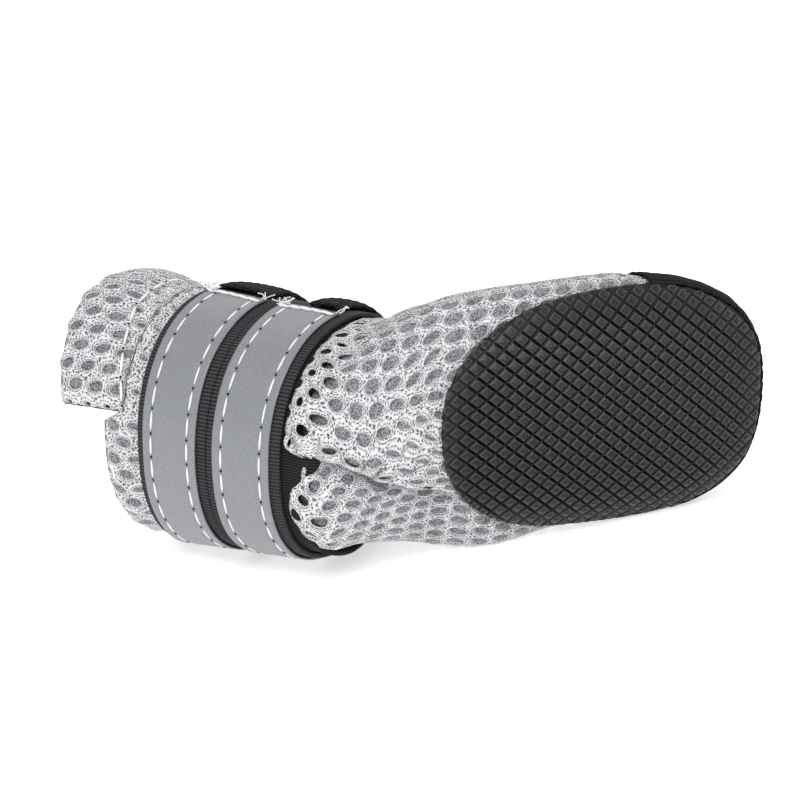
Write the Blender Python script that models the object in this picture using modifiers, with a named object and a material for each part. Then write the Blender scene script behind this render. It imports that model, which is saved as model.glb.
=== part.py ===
"""Dog boot, one slack mesh boot lying on its left side, for Blender 4.5.

Lengths are in millimetres in the boot's own frame, where X runs to the toe, Y to the boot's left
and Z up from the ground under the middle of the sole. An empty then lays the boot on its side.
"""

import bpy
import bmesh
import numpy as np
from mathutils import Matrix, Vector

MM = 0.001
GAP = 0.3

# Sole: a domed rubber plate, a rounded oblong in plan, wider at the toe
SOLE_HALF_LENGTH = 43.3
SOLE_HALF_WIDTH = 30.25
SOLE_SQUARENESS = 2.5
SOLE_TOE_WIDENING = 0.06
DOME_END_RISE = 4.05
DOME_END_POWER = 3.5
DOME_SIDE_RISE = 8.3
DOME_SIDE_POWER = 3.6
SOLE_THICKNESS = 2.2
SOLE_RIM_THICKNESS = 1.2
SEAT_ENDS = 1.06

# Upper: a soft mesh sock with a real wall, open at the collar and under the foot
WALL = 2.0
FOOT_TIP = 47.0
FOOT_HALF_WIDTH = 32.0
FOOT_WIDEST_HEIGHT = 13.5
FOOT_TIP_CLIMB = 4.0
FOOT_DEPTH = 10.7
FOOT_RISE = 27.0
INSTEP_CLIMB = 0.05
TOE_TOP_POWER = 1.6
TOE_UNDER_POWER = 5.0
TOE_PLAN_POWER = 2.5
FOOT_POWERS = (1.6, 1.7)
FOOT_HOLE_INSET = 5.5
INSOLE_THICKNESS = 2.0
FACET_CLEARANCE = 0.15

# Shaft: a straight round tube that leans back, with the boot's straps around it
SHAFT_FOOT = (-58.3, 25.6)
SHAFT_LEAN = 49.8
SHAFT_SIDE_SHIFT = 4.6
SHAFT_SIDE_SLOPE = 0.03
SHAFT_WIDEST = 0.48
SHAFT_POWERS = (2.3, 1.9)

# Layers around the shaft, from the mesh outwards, as distances along the shaft and thicknesses
ELASTIC_THICKNESS = 1.0
WEBBING_WIDTH = 20.0
WEBBING_STARTS = {"ankle": 0.0, "collar": 20.5}
WEBBING_THICKNESS = 1.2
TAPE_WIDTH = 15.5
TAPE_THICKNESS = 0.5
TAIL_THICKNESS = 1.3
TAIL_LIFT = 0.4
LAYERS = 4 * GAP + ELASTIC_THICKNESS + WEBBING_THICKNESS + TAPE_THICKNESS
TAPE_TURNS = (-0.389, 0.25)
TAIL_TURNS = (0.264, 0.403)

# Collar: the mesh ends just past the straps, and a doubled flap stands higher on the right side
COLLAR_END = 53.0
FLAP_TURNS = (0.045, 0.46)
FLAP_CLEARANCE = 0.02
FLAP_STEP = 0.03
FLAP_SEAM = 45.0
FLAP_END = 65.0
FLAP_TOP_EXTRA = 3.5
FLAP_FLARE = 2.2
FLAP_THICKNESS = 5.5
FLAP_INNER_SHARE = 0.42
FLAP_SINK = 1.0
FLAP_END_ROUNDING = 0.03
FLAP_THINNEST = 0.35

# Toe cap: woven cloth over the mesh, from the tip back to its seam
CAP_SEAM = 13.0
CAP_THICKNESS = 0.8

# The floor that the boot's left side lies on, as slopes towards the heel and towards the top
FLOOR_SLOPE_BACK = 0.07
FLOOR_SLOPE_UP = 0.02
FLOOR_SOFTNESS = 1.2

# The middle of the laid boot's box, which becomes the part's origin
BOX_MIDDLE = (-37.12, 46.49)
REST_HEIGHT = 0.08

# Columns of the meshes around the shaft and the foot, and the points that each section is traced with
AROUND = 36
FINE = 144
CUTTER_REACH = 12.0

FINISHES = {
    "net_mesh": ((0.60, 0.61, 0.63), 0.9),
    "sole_rubber": ((0.030, 0.030, 0.032), 0.55),
    "woven_cap": ((0.020, 0.020, 0.022), 0.95),
    "insole_cloth": ((0.25, 0.25, 0.26), 0.95),
    "ribbed_elastic": ((0.022, 0.022, 0.024), 0.8),
    "black_webbing": ((0.030, 0.030, 0.034), 0.7),
    "silver_tape": ((0.38, 0.39, 0.41), 0.45),
    "hook_and_loop": ((0.012, 0.012, 0.013), 0.95),
}

# Each station of the upper behind the foot: the instep and the underside in profile, the half
# width, how far up the widest point is, the powers of the lower and upper curve, the sideways
# shift, and the thickness of what is worn over the mesh there
STATION_COLUMNS = (
    "top_x", "top_z", "under_x", "under_z", "half_width", "widest", "low_power", "high_power",
    "shift", "worn_over",
)
ANKLE_STATIONS = (
    (-14.0, 41.0, -14.0, 2.9, 32.2, 0.26, 1.8, 1.75, 0.5, 0.0),
    (-22.0, 41.2, -30.0, 3.5, 32.6, 0.24, 2.2, 1.85, 1.4, 0.0),
    (-26.6, 41.2, -44.5, 6.4, 30.8, 0.28, 2.5, 1.9, 1.8, 0.0),
    (-27.6, 41.2, -50.0, 4.4, 29.6, 0.33, 2.5, 1.9, 1.6, 0.0),
    (-29.5, 41.2, -60.0, 1.6, 28.6, 0.40, 2.3, 1.9, 1.6, 0.0),
    (-30.3, 41.2, -70.5, -0.6, 27.9, 0.47, 2.3, 1.9, 3.0, 0.4),
    (-30.6, 41.2, -77.2, -0.8, 27.2, 0.50, 2.3, 1.9, 4.6, 2.0),
)
SHAFT_COLUMNS = ("along", "half_width", "half_depth", "worn_over")
SHAFT_STATIONS = (
    (-4.5, 26.7, 30.8, LAYERS),
    (2.0, 26.7, 30.8, LAYERS),
    (12.0, 27.2, 30.5, LAYERS),
    (26.0, 28.1, 29.8, LAYERS),
    (38.0, 29.0, 28.9, LAYERS),
    (42.0, 29.3, 28.7, LAYERS),
    (45.5, 30.4, 29.6, 1.0),
    (COLLAR_END, 31.0, 30.0, 0.0),
    (75.0, 31.0, 30.0, 0.0),
)
SHAFT_ROWS = (-4.5, 2.0, 9.0, 17.0, 25.0, 33.0, 41.0)
CAP_ROWS = (46.95, 46.2, 44.6, 42.0, 38.0, 33.0, 27.0, 20.0, CAP_SEAM, 7.0, 0.0, -7.0)


def clear_scene():
    for old in list(bpy.data.objects):
        bpy.data.objects.remove(old)


def rounded(value, power):
    """A superellipse's other side, from 1 in the middle to 0 at its end."""
    return max(0.0, 1 - abs(value) ** power) ** (1 / power)


def foot_station(x):
    """One upright station of the foot, from the three curves that close at the tip."""
    back = x / FOOT_TIP
    widest_z = FOOT_WIDEST_HEIGHT + FOOT_TIP_CLIMB * max(0.0, back) ** 2
    top = widest_z + FOOT_RISE * rounded(back, TOE_TOP_POWER)
    if x < 0:
        top = FOOT_WIDEST_HEIGHT + FOOT_RISE - INSTEP_CLIMB * x
    under = widest_z - FOOT_DEPTH * rounded(back, TOE_UNDER_POWER)
    half_width = FOOT_HALF_WIDTH * rounded(back, TOE_PLAN_POWER)
    worn_over = 0.0
    if x >= CAP_SEAM:
        worn_over = CAP_THICKNESS + GAP
        half_width = max(half_width - worn_over, 0.5)
        top -= min(worn_over, (top - widest_z) / 2)
    fraction = (widest_z - under) / (top - under)
    return (x, top, x, under, half_width, fraction, *FOOT_POWERS, 0.0, worn_over)


def shaft_station(along, half_width, half_depth, worn_over):
    """One station square to the leaning shaft."""
    lean = np.radians(SHAFT_LEAN)
    x = SHAFT_FOOT[0] - np.cos(lean) * along
    z = SHAFT_FOOT[1] + np.sin(lean) * along
    shift = SHAFT_SIDE_SHIFT + SHAFT_SIDE_SLOPE * along
    reach = np.array([np.sin(lean), np.cos(lean)]) * half_depth
    top = np.array([x, z]) + reach
    under = np.array([x, z]) - reach
    return (*top, *under, half_width, SHAFT_WIDEST, *SHAFT_POWERS, shift, worn_over)


class Upper:
    """The outside of the mesh upper, as a function of the distance along it and the turn around it."""

    def __init__(self):
        rows = [foot_station(x) for x in CAP_ROWS]
        rows += ANKLE_STATIONS
        rows += [shaft_station(**dict(zip(SHAFT_COLUMNS, row))) for row in SHAFT_STATIONS]
        self.rows = np.array(rows)
        middle = (self.rows[:, 0:2] + self.rows[:, 2:4]) / 2
        steps = np.linalg.norm(np.diff(middle, axis=0), axis=1)
        self.along = np.concatenate([[0.0], np.cumsum(steps)])
        first_shaft = len(CAP_ROWS) + len(ANKLE_STATIONS)
        self.shaft_zero = self.along[first_shaft] - SHAFT_STATIONS[0][0]
        self.slopes = np.gradient(self.rows, self.along, axis=0)
        self.floor_level = 0.0
        self.floor_level = max(floor_height(point) for point in sole_outline(FINE))

    def station(self, along):
        """The station at a distance along, on a smooth curve through the table's rows."""
        i = int(np.clip(np.searchsorted(self.along, along) - 1, 0, len(self.along) - 2))
        span = self.along[i + 1] - self.along[i]
        t = np.clip((along - self.along[i]) / span, 0, 1)
        start = (1 + 2 * t) * (1 - t) ** 2 * self.rows[i] + t * (1 - t) ** 2 * span * self.slopes[i]
        end = t * t * (3 - 2 * t) * self.rows[i + 1] - t * t * (1 - t) * span * self.slopes[i + 1]
        return start + end

    def ring(self, along, turns):
        """Points around the section, where turn 0 is underneath, 0.25 right, 0.5 on top and 0.75 left."""
        row = dict(zip(STATION_COLUMNS, self.station(along)))
        top = np.array([row["top_x"], 0.0, row["top_z"]])
        under = np.array([row["under_x"], 0.0, row["under_z"]])
        widest = under + row["widest"] * (top - under)
        angles = np.linspace(0, 2 * np.pi, FINE + 1)
        down = np.cos(angles)
        low = down > 0
        power = np.where(low, row["low_power"], row["high_power"])
        height = np.where(low, 1.0, -1.0) * np.abs(down) ** (2 / power)
        side = -np.sign(np.sin(angles)) * np.abs(np.sin(angles)) ** (2 / power)
        reach = np.where(low[:, None], under - widest, widest - top)
        points = widest + height[:, None] * reach
        points[:, 1] = row["half_width"] * side + row["shift"]
        points[low, 2] = seated(points[low])
        points = self.flattened(points, row["worn_over"])
        lengths = np.linalg.norm(np.diff(points, axis=0), axis=1)
        travelled = np.concatenate([[0.0], np.cumsum(lengths)])
        wanted = (np.asarray(turns) % 1.0) * travelled[-1]
        return np.stack([np.interp(wanted, travelled, points[:, k]) for k in range(3)], axis=1)

    def flattened(self, points, worn_over):
        """Presses what would go through the floor flat against it, with a soft edge."""
        over = floor_height(points) - self.floor_level + worn_over
        eased = -((FLOOR_SOFTNESS - over) ** 2) / (4 * FLOOR_SOFTNESS)
        pressed = np.where(over < -FLOOR_SOFTNESS, over, np.where(over > FLOOR_SOFTNESS, 0.0, eased))
        moved = points.copy()
        moved[:, 1] += pressed - over
        return moved

    def collar_rows(self, turn, start):
        """The last points of one line along the upper, up to the collar's uneven edge."""
        end = self.shaft_zero + collar_edge(turn)
        alongs = start + np.array([0.35, 0.7, 1.0]) * (end - start)
        return np.array([self.ring(along, [turn])[0] for along in alongs])

    def skin(self, alongs, turns, offset=0.0):
        """A grid of points at an offset from the upper's outside, as [along][turn]."""
        grid = np.array([self.ring(along, turns) for along in alongs])
        if np.all(np.asarray(offset) == 0):
            return grid
        step = 0.3
        ahead = np.array([self.ring(along + step, turns) for along in alongs])
        behind = np.array([self.ring(along - step, turns) for along in alongs])
        turn_step = 0.004
        left = np.array([self.ring(along, np.asarray(turns) + turn_step) for along in alongs])
        right = np.array([self.ring(along, np.asarray(turns) - turn_step) for along in alongs])
        normal = np.cross(left - right, ahead - behind)
        normal /= np.linalg.norm(normal, axis=2, keepdims=True)
        return grid + normal * np.broadcast_to(np.asarray(offset, float), grid.shape[:2])[..., None]


def collar_edge(turn):
    """How far along the shaft the mesh ends: past the straps on the left, under the flap on the right."""
    turn = (turn + 0.25) % 1 - 0.25
    into_flap = min(turn - FLAP_TURNS[0], FLAP_TURNS[1] - turn)
    share = np.clip((into_flap + FLAP_CLEARANCE) / FLAP_STEP + 1, 0, 1)
    return COLLAR_END + (FLAP_SEAM - 2 * GAP - COLLAR_END) * share


def floor_height(points):
    """How far a point reaches towards the floor, measured along Y on the floor's slopes."""
    points = np.asarray(points)
    return points[..., 1] + FLOOR_SLOPE_BACK * points[..., 0] - FLOOR_SLOPE_UP * points[..., 2]


def dome_height(x, y):
    """Height of the sole's underside over the ground."""
    end = DOME_END_RISE * abs(x / SOLE_HALF_LENGTH) ** DOME_END_POWER
    side = DOME_SIDE_RISE * abs(y / SOLE_HALF_WIDTH) ** DOME_SIDE_POWER
    return end + side


def plan_ratio(x, y):
    """How far out a point lies in plan, from 0 in the middle to 1 on the sole's outline."""
    wide = SOLE_HALF_WIDTH * (1 + SOLE_TOE_WIDENING * x / SOLE_HALF_LENGTH)
    power = SOLE_SQUARENESS
    return (abs(x / SOLE_HALF_LENGTH) ** power + abs(y / wide) ** power) ** (1 / power)


def sole_top(x, y):
    """Height of the sole's upper face, which thins towards the rim."""
    thinning = (SOLE_THICKNESS - SOLE_RIM_THICKNESS) * np.minimum(plan_ratio(x, y), 1.0) ** 2
    return dome_height(x, y) + SOLE_THICKNESS - thinning


def seated(points):
    """Heights of the upper's underside once it sits on the sole, easing into its own shape outside."""
    x, y, z = points.T
    ratio = plan_ratio(x, y)
    slope = DOME_SIDE_RISE * DOME_SIDE_POWER / SOLE_HALF_WIDTH * ratio ** (DOME_SIDE_POWER - 1)
    seat = sole_top(x, y) + GAP * np.hypot(1, slope) + FACET_CLEARANCE
    ease = np.clip((SEAT_ENDS - ratio) / (SEAT_ENDS - 1), 0, 1)
    share = ease * ease * (3 - 2 * ease)
    return share * seat + (1 - share) * z


def outline_point(angle, inset=0.0, scale=1.0):
    """A point of the sole's outline in plan, drawn in by an inset."""
    power = 2 / SOLE_SQUARENESS
    cos, sin = np.cos(angle), np.sin(angle)
    x = (SOLE_HALF_LENGTH - inset) * scale * np.sign(cos) * abs(cos) ** power
    y = (SOLE_HALF_WIDTH - inset) * scale * np.sign(sin) * abs(sin) ** power
    return x, y * (1 + SOLE_TOE_WIDENING * x / SOLE_HALF_LENGTH)


def sole_outline(count):
    """Points of the sole's lower edge in space."""
    points = []
    for angle in np.linspace(0, 2 * np.pi, count, endpoint=False):
        x, y = outline_point(angle)
        points.append((x, y, dome_height(x, y)))
    return np.array(points)


def material(slot):
    colour, roughness = FINISHES[slot]
    made = bpy.data.materials.get(slot) or bpy.data.materials.new(slot)
    made.use_nodes = True
    shader = made.node_tree.nodes["Principled BSDF"]
    shader.inputs["Base Color"].default_value = (*colour, 1)
    shader.inputs["Roughness"].default_value = roughness
    made.diffuse_color = (*colour, 1)
    return made


def add_object(name, points, faces, slot, collection, parent):
    mesh = bpy.data.meshes.new(name)
    mesh.from_pydata([tuple(p * MM) for p in np.asarray(points, float)], [], faces)
    mesh.validate()
    mesh.shade_smooth()
    made = bpy.data.objects.new(name, mesh)
    if slot:
        mesh.materials.append(material(slot))
    collection.objects.link(made)
    made.parent = parent
    return made


def grid_faces(rows, columns, closed):
    """Quads of a grid, row by row, and round again to the first column where it is closed."""
    faces = []
    wide = columns if closed else columns - 1
    for i in range(rows - 1):
        for j in range(wide):
            k = (j + 1) % columns
            a, b = i * columns + j, i * columns + k
            faces.append((a, b, b + columns, a + columns))
    return faces


def turn_out(made):
    """Points the faces of one open or closed surface the same way."""
    work = bmesh.new()
    work.from_mesh(made.data)
    bmesh.ops.recalc_face_normals(work, faces=work.faces)
    work.to_mesh(made.data)
    work.free()


def thicken(made, thickness, offset):
    modifier = made.modifiers.new("Wall", "SOLIDIFY")
    modifier.thickness = thickness * MM
    modifier.offset = offset
    modifier.use_even_offset = True
    modifier.use_quality_normals = True
    return modifier


def cut_with(made, cutter):
    modifier = made.modifiers.new("Cut by " + cutter.name, "BOOLEAN")
    modifier.object = cutter
    modifier.operation = "DIFFERENCE"
    modifier.solver = "EXACT"


def band(name, upper, rows, turns, offset, thickness, slot, collection, parent, closed=True):
    """A strip around the shaft, thickened outwards from its offset over the mesh."""
    alongs = upper.shaft_zero + np.array(rows)
    grid = upper.skin(alongs, turns, offset)
    faces = grid_faces(len(rows), len(turns), closed)
    made = add_object(name, grid.reshape(-1, 3), faces, slot, collection, parent)
    thicken(made, thickness, 1.0)
    return made


def build_upper(upper, collection, parent, cutters):
    turns = np.arange(AROUND) / AROUND
    foot = [upper.along[i] for i in range(len(CAP_ROWS) + len(ANKLE_STATIONS))]
    between = [(a + b) / 2 for a, b in zip(foot[8:], foot[9:])]
    shaft = upper.shaft_zero + np.array(SHAFT_ROWS)
    alongs = np.array(sorted(foot + between + list(shaft)))
    grid = upper.skin(alongs, turns)
    rim = [upper.collar_rows(turn, alongs[-1]) for turn in turns]
    grid = np.concatenate([grid, np.stack(rim, axis=1)])
    tip = np.array([[FOOT_TIP, 0.0, (grid[0, :, 2].max() + grid[0, :, 2].min()) / 2]])
    points = np.concatenate([grid.reshape(-1, 3), tip])
    faces = grid_faces(len(grid), AROUND, True)
    last = len(points) - 1
    faces += [(last, (j + 1) % AROUND, j) for j in range(AROUND)]
    made = add_object("upper", points, faces, "net_mesh", collection, parent)
    thicken(made, WALL, -1.0)
    hole = outline_prism("foot_hole", FOOT_HOLE_INSET, CUTTER_REACH, cutters, parent)
    cut_with(made, hole)
    return made


def outline_prism(name, inset, high, collection, parent, count=48):
    """A cutter with the sole's outline, drawn in by an inset, from well under the sole up to a height."""
    low = -CUTTER_REACH
    angles = np.linspace(0, 2 * np.pi, count, endpoint=False)
    ring = np.array([outline_point(angle, inset) for angle in angles])
    points = [(x, y, low) for x, y in ring] + [(x, y, high) for x, y in ring]
    faces = [tuple(range(count))[::-1], tuple(range(count, 2 * count))]
    faces += [(i, (i + 1) % count, count + (i + 1) % count, count + i) for i in range(count)]
    made = add_object(name, points, faces, None, collection, parent)
    made.hide_render = True
    made.display_type = "WIRE"
    return made


def plate(name, under, over, inset, slot, collection, parent, rings=8, count=56):
    """A plate in the sole's outline, between two height functions."""
    angles = np.linspace(0, 2 * np.pi, count, endpoint=False)
    scales = np.sin(np.linspace(0, np.pi / 2, rings + 1))[1:]
    plan = [(0.0, 0.0)]
    for scale in scales:
        plan += [outline_point(angle, inset, scale) for angle in angles]
    low = [(x, y, under(x, y)) for x, y in plan]
    high = [(x, y, over(x, y)) for x, y in plan]
    total = len(plan)
    faces = []
    for j in range(count):
        k = (j + 1) % count
        faces.append((0, 1 + k, 1 + j))
        faces.append((total, total + 1 + j, total + 1 + k))
        for i in range(rings - 1):
            a, b = 1 + i * count + j, 1 + i * count + k
            c, d = b + count, a + count
            faces.append((a, b, c, d))
            faces.append((total + a, total + d, total + c, total + b))
        a, b = 1 + (rings - 1) * count + j, 1 + (rings - 1) * count + k
        faces.append((a, b, total + b, total + a))
    return add_object(name, low + high, faces, slot, collection, parent)


def build_foot_bottom(collection, parent):
    plate("outsole", dome_height, sole_top, 0.0, "sole_rubber", collection, parent)
    plate(
        "insole",
        lambda x, y: sole_top(x, y) + GAP,
        lambda x, y: sole_top(x, y) + GAP + INSOLE_THICKNESS,
        FOOT_HOLE_INSET + 0.5,
        "insole_cloth",
        collection,
        parent,
        rings=5,
        count=40,
    )


def build_toe_cap(upper, collection, parent, cutters):
    turns = np.arange(AROUND) / AROUND
    alongs = np.array([upper.along[i] for i in range(CAP_ROWS.index(CAP_SEAM) + 1)])
    grid = upper.skin(alongs, turns, GAP)
    tip = np.array([[FOOT_TIP + GAP, 0.0, (grid[0, :, 2].max() + grid[0, :, 2].min()) / 2]])
    points = np.concatenate([grid.reshape(-1, 3), tip])
    faces = grid_faces(len(alongs), AROUND, True)
    last = len(points) - 1
    faces += [(last, (j + 1) % AROUND, j) for j in range(AROUND)]
    made = add_object("toe_cap", points, faces, "woven_cap", collection, parent)
    thicken(made, CAP_THICKNESS, 1.0)
    cut_with(made, outline_prism("cap_edge", -GAP, FOOT_WIDEST_HEIGHT, cutters, parent))
    return made


def build_straps(upper, collection, parent):
    turns = np.arange(AROUND) / AROUND
    offset = GAP
    band(
        "elastic_band", upper, SHAFT_ROWS, turns, offset, ELASTIC_THICKNESS,
        "ribbed_elastic", collection, parent,
    )
    offset += ELASTIC_THICKNESS + GAP
    for place, start in WEBBING_STARTS.items():
        rows = (start, start + WEBBING_WIDTH / 2, start + WEBBING_WIDTH)
        band(
            "webbing_" + place, upper, rows, turns, offset, WEBBING_THICKNESS,
            "black_webbing", collection, parent,
        )
        edge = (WEBBING_WIDTH - TAPE_WIDTH) / 2
        tape_turns = np.linspace(*TAPE_TURNS, 24)
        tape_rows = (start + edge, start + WEBBING_WIDTH / 2, start + WEBBING_WIDTH - edge)
        tape_offset = offset + WEBBING_THICKNESS + GAP
        band(
            "tape_" + place, upper, tape_rows, tape_turns, tape_offset, TAPE_THICKNESS,
            "silver_tape", collection, parent, closed=False,
        )
        tail_turns = np.linspace(*TAIL_TURNS, 6)
        lift = np.linspace(0.0, 1.0, len(tail_turns))
        tail_offset = tape_offset + TAIL_LIFT * np.sin(np.pi * lift)
        band(
            "hook_tail_" + place, upper, rows, tail_turns, tail_offset[None, :], TAIL_THICKNESS,
            "hook_and_loop", collection, parent, closed=False,
        )


def build_flap(upper, collection, parent):
    """The doubled flap: a curved pad on the right side of the collar, round at its free end."""
    turns = np.linspace(FLAP_TURNS[0], FLAP_TURNS[1], 19)
    rows = 9
    across = np.concatenate([np.linspace(0, 1, rows), np.linspace(1, 0, rows)[1:-1]])
    inner = np.arange(len(across)) < rows
    crown = np.maximum(np.sqrt(1 - (2 * across - 1) ** 4), 0.3)
    shares = np.where(inner, -FLAP_INNER_SHARE, 1 - FLAP_INNER_SHARE)
    offsets = shares * FLAP_THICKNESS * crown - FLAP_SINK + FLAP_FLARE * across ** 2
    ends = np.clip(np.minimum(turns - turns[0], turns[-1] - turns) / FLAP_END_ROUNDING, 0, 1)
    plump = FLAP_THINNEST + (1 - FLAP_THINNEST) * np.sqrt(1 - (1 - ends) ** 2)
    extra = FLAP_TOP_EXTRA * np.sin(np.linspace(0, np.pi, len(turns)))
    sections = []
    for along, offset in zip(across, offsets):
        line = []
        for k, turn in enumerate(turns):
            reach = FLAP_SEAM + (FLAP_END + extra[k] - FLAP_SEAM) * along
            line.append(upper.skin([upper.shaft_zero + reach], [turn], offset * plump[k])[0, 0])
        sections.append(line)
    count = len(sections)
    points = np.array(sections).reshape(-1, 3)
    columns = len(turns)
    faces = []
    for i in range(count):
        n = (i + 1) % count
        for j in range(columns - 1):
            a, b = i * columns + j, n * columns + j
            faces.append((a, a + 1, b + 1, b))
    faces.append(tuple(i * columns for i in range(count)))
    faces.append(tuple(i * columns + columns - 1 for i in range(count))[::-1])
    made = add_object("collar_flap", points, faces, "net_mesh", collection, parent)
    turn_out(made)
    return made


def laid_down(upper):
    """The turn and move that put the floor's slopes level, with the left side down."""
    down = Vector((FLOOR_SLOPE_BACK, 1.0, -FLOOR_SLOPE_UP)).normalized()
    up = -down
    forward = (Vector((1, 0, 0)) - Vector((1, 0, 0)).dot(up) * up).normalized()
    across = up.cross(forward)
    turn = Matrix((forward, across, up))
    depth = upper.floor_level / Vector((FLOOR_SLOPE_BACK, 1.0, -FLOOR_SLOPE_UP)).length
    move = Vector((-BOX_MIDDLE[0], -BOX_MIDDLE[1], depth + REST_HEIGHT)) * MM
    return Matrix.Translation(move) @ turn.to_4x4()


def main():
    clear_scene()
    parts = bpy.data.collections.new("Dog boot")
    cutters = bpy.data.collections.new("Cutters")
    bpy.context.scene.collection.children.link(parts)
    bpy.context.scene.collection.children.link(cutters)
    upper = Upper()
    holder = bpy.data.objects.new("lie_down", None)
    parts.objects.link(holder)
    holder.matrix_world = laid_down(upper)
    build_upper(upper, parts, holder, cutters)
    build_foot_bottom(parts, holder)
    build_toe_cap(upper, parts, holder, cutters)
    build_straps(upper, parts, holder)
    build_flap(upper, parts, holder)


main()
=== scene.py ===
# %% [markdown]
# # A slack mesh dog boot
# A dog boot is a soft net sock over a grey lining, with a rubber sole and two straps at the ankle.
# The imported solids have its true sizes. This lesson dresses each one in its cloth, yarn or rubber,
# because holes and stitches are too fine for the solids.

import bmesh
import bpy
import numpy as np
from mathutils import Matrix, Vector


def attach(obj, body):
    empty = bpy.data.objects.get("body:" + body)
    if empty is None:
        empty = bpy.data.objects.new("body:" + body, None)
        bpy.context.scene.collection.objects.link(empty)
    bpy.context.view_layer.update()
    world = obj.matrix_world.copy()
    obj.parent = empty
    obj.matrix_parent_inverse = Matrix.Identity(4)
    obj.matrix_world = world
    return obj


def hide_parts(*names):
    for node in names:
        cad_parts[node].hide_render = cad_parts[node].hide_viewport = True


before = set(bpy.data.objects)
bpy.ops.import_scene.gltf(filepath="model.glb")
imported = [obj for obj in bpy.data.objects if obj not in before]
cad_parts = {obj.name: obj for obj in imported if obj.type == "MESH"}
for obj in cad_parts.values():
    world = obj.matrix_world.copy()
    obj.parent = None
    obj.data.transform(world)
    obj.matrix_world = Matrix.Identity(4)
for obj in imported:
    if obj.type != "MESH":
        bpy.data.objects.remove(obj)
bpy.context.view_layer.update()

# %% [markdown]
# ## Where the boot lies
# The boot lies on the sole's edge, the side of the foot and the straps. Its shapes are easier to
# think of when it stands, so they are worked out in millimetres in the boot's own frame: X to the
# toe, Y to its left, Z up from the ground. One matrix then lays it down.

# %% Lay the boot on its side
MM = 0.001
FLOOR_SLOPE_BACK = 0.07
FLOOR_SLOPE_UP = 0.02
BOX_MIDDLE = (-37.12, 46.49)
REST_HEIGHT = 0.08
SOLE_HALF_LENGTH = 43.3
SOLE_HALF_WIDTH = 30.25
SOLE_SQUARENESS = 2.5
SOLE_TOE_WIDENING = 0.06
END_RISE, END_POWER = 4.05, 3.5
SIDE_RISE, SIDE_POWER = 8.3, 3.6


def dome_height(x, y):
    """Height of the tread over the ground, which rises towards the sole's ends and sides."""
    end = END_RISE * np.abs(x / SOLE_HALF_LENGTH) ** END_POWER
    return end + SIDE_RISE * np.abs(y / SOLE_HALF_WIDTH) ** SIDE_POWER


def outline_point(angle):
    """A point of the sole's outline in plan, a rounded oblong that is wider at the toe."""
    power = 2 / SOLE_SQUARENESS
    cos, sin = np.cos(angle), np.sin(angle)
    x = SOLE_HALF_LENGTH * np.sign(cos) * np.abs(cos) ** power
    y = SOLE_HALF_WIDTH * np.sign(sin) * np.abs(sin) ** power
    return x, y * (1 + SOLE_TOE_WIDENING * x / SOLE_HALF_LENGTH)


def floor_height(points):
    """How far a point reaches towards the floor, measured along Y on the floor's slopes."""
    return points[..., 1] + FLOOR_SLOPE_BACK * points[..., 0] - FLOOR_SLOPE_UP * points[..., 2]


edge_x, edge_y = outline_point(np.linspace(0, 2 * np.pi, 144, endpoint=False))
edge = np.stack([edge_x, edge_y, dome_height(edge_x, edge_y)], axis=1)
floor_level = floor_height(edge).max()
floor_normal = Vector((FLOOR_SLOPE_BACK, 1.0, -FLOOR_SLOPE_UP))
up = -floor_normal.normalized()
forward = (Vector((1, 0, 0)) - up[0] * up).normalized()
laid = Matrix((forward, up.cross(forward), up))
lift = floor_level / floor_normal.length + REST_HEIGHT
LIE_DOWN = Matrix.Translation(Vector((-BOX_MIDDLE[0], -BOX_MIDDLE[1], lift)) * MM)
LIE_DOWN = LIE_DOWN @ laid.to_4x4() @ Matrix.Scale(MM, 4)
print("floor is", round(floor_level, 2), "mm to the left of the boot's middle")

# %% [markdown]
# ## The camera
# The camera could be moved about by eye, but here it was fitted to the sole's outline. So it is
# given as a turn and a rise around the standing boot, and two offsets in the picture.

# %% Place the camera
CAMERA_TURN = np.radians(-21.42)
CAMERA_RISE = np.radians(18.99)
CAMERA_ROLL = np.radians(0.09)
CAMERA_DISTANCE = 480.0
PICTURE_OFFSET = (51.67, -4.37)
FOCAL_PIXELS = 1992.0
PICTURE_WIDTH = 800


def put_in_scene(name, data):
    made = bpy.data.objects.new(name, data)
    bpy.context.scene.collection.objects.link(made)
    return made


right = Vector((np.cos(CAMERA_TURN), 0, np.sin(CAMERA_TURN)))
above = Vector((
    -np.sin(CAMERA_TURN) * np.sin(CAMERA_RISE),
    -np.cos(CAMERA_RISE),
    np.cos(CAMERA_TURN) * np.sin(CAMERA_RISE),
))
back = right.cross(above)
roll = Matrix.Rotation(CAMERA_ROLL, 3, back)
right, above = roll @ right, roll @ above
eye = back * CAMERA_DISTANCE - right * PICTURE_OFFSET[0] - above * PICTURE_OFFSET[1]
camera_data = bpy.data.cameras.new("photo_camera")
camera_data.sensor_width = 36
camera_data.lens = FOCAL_PIXELS / PICTURE_WIDTH * camera_data.sensor_width
camera_data.clip_start = 0.01
camera = put_in_scene("photo_camera", camera_data)
axes = laid @ Matrix((right, above, back)).transposed()
camera.matrix_world = Matrix.Translation(LIE_DOWN @ eye) @ axes.to_4x4()
bpy.context.scene.camera = camera
print("camera stands", round(camera.location.z * 1000), "mm over the floor")

# %% [markdown]
# ## Floor and light
# The boot lies on a white sheet in soft light. Large square lights give soft edges: a key over the
# sole, a weak one at the toe and one behind the flap. A pale world and a floor that glows a little
# keep the shadow faint.

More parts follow.
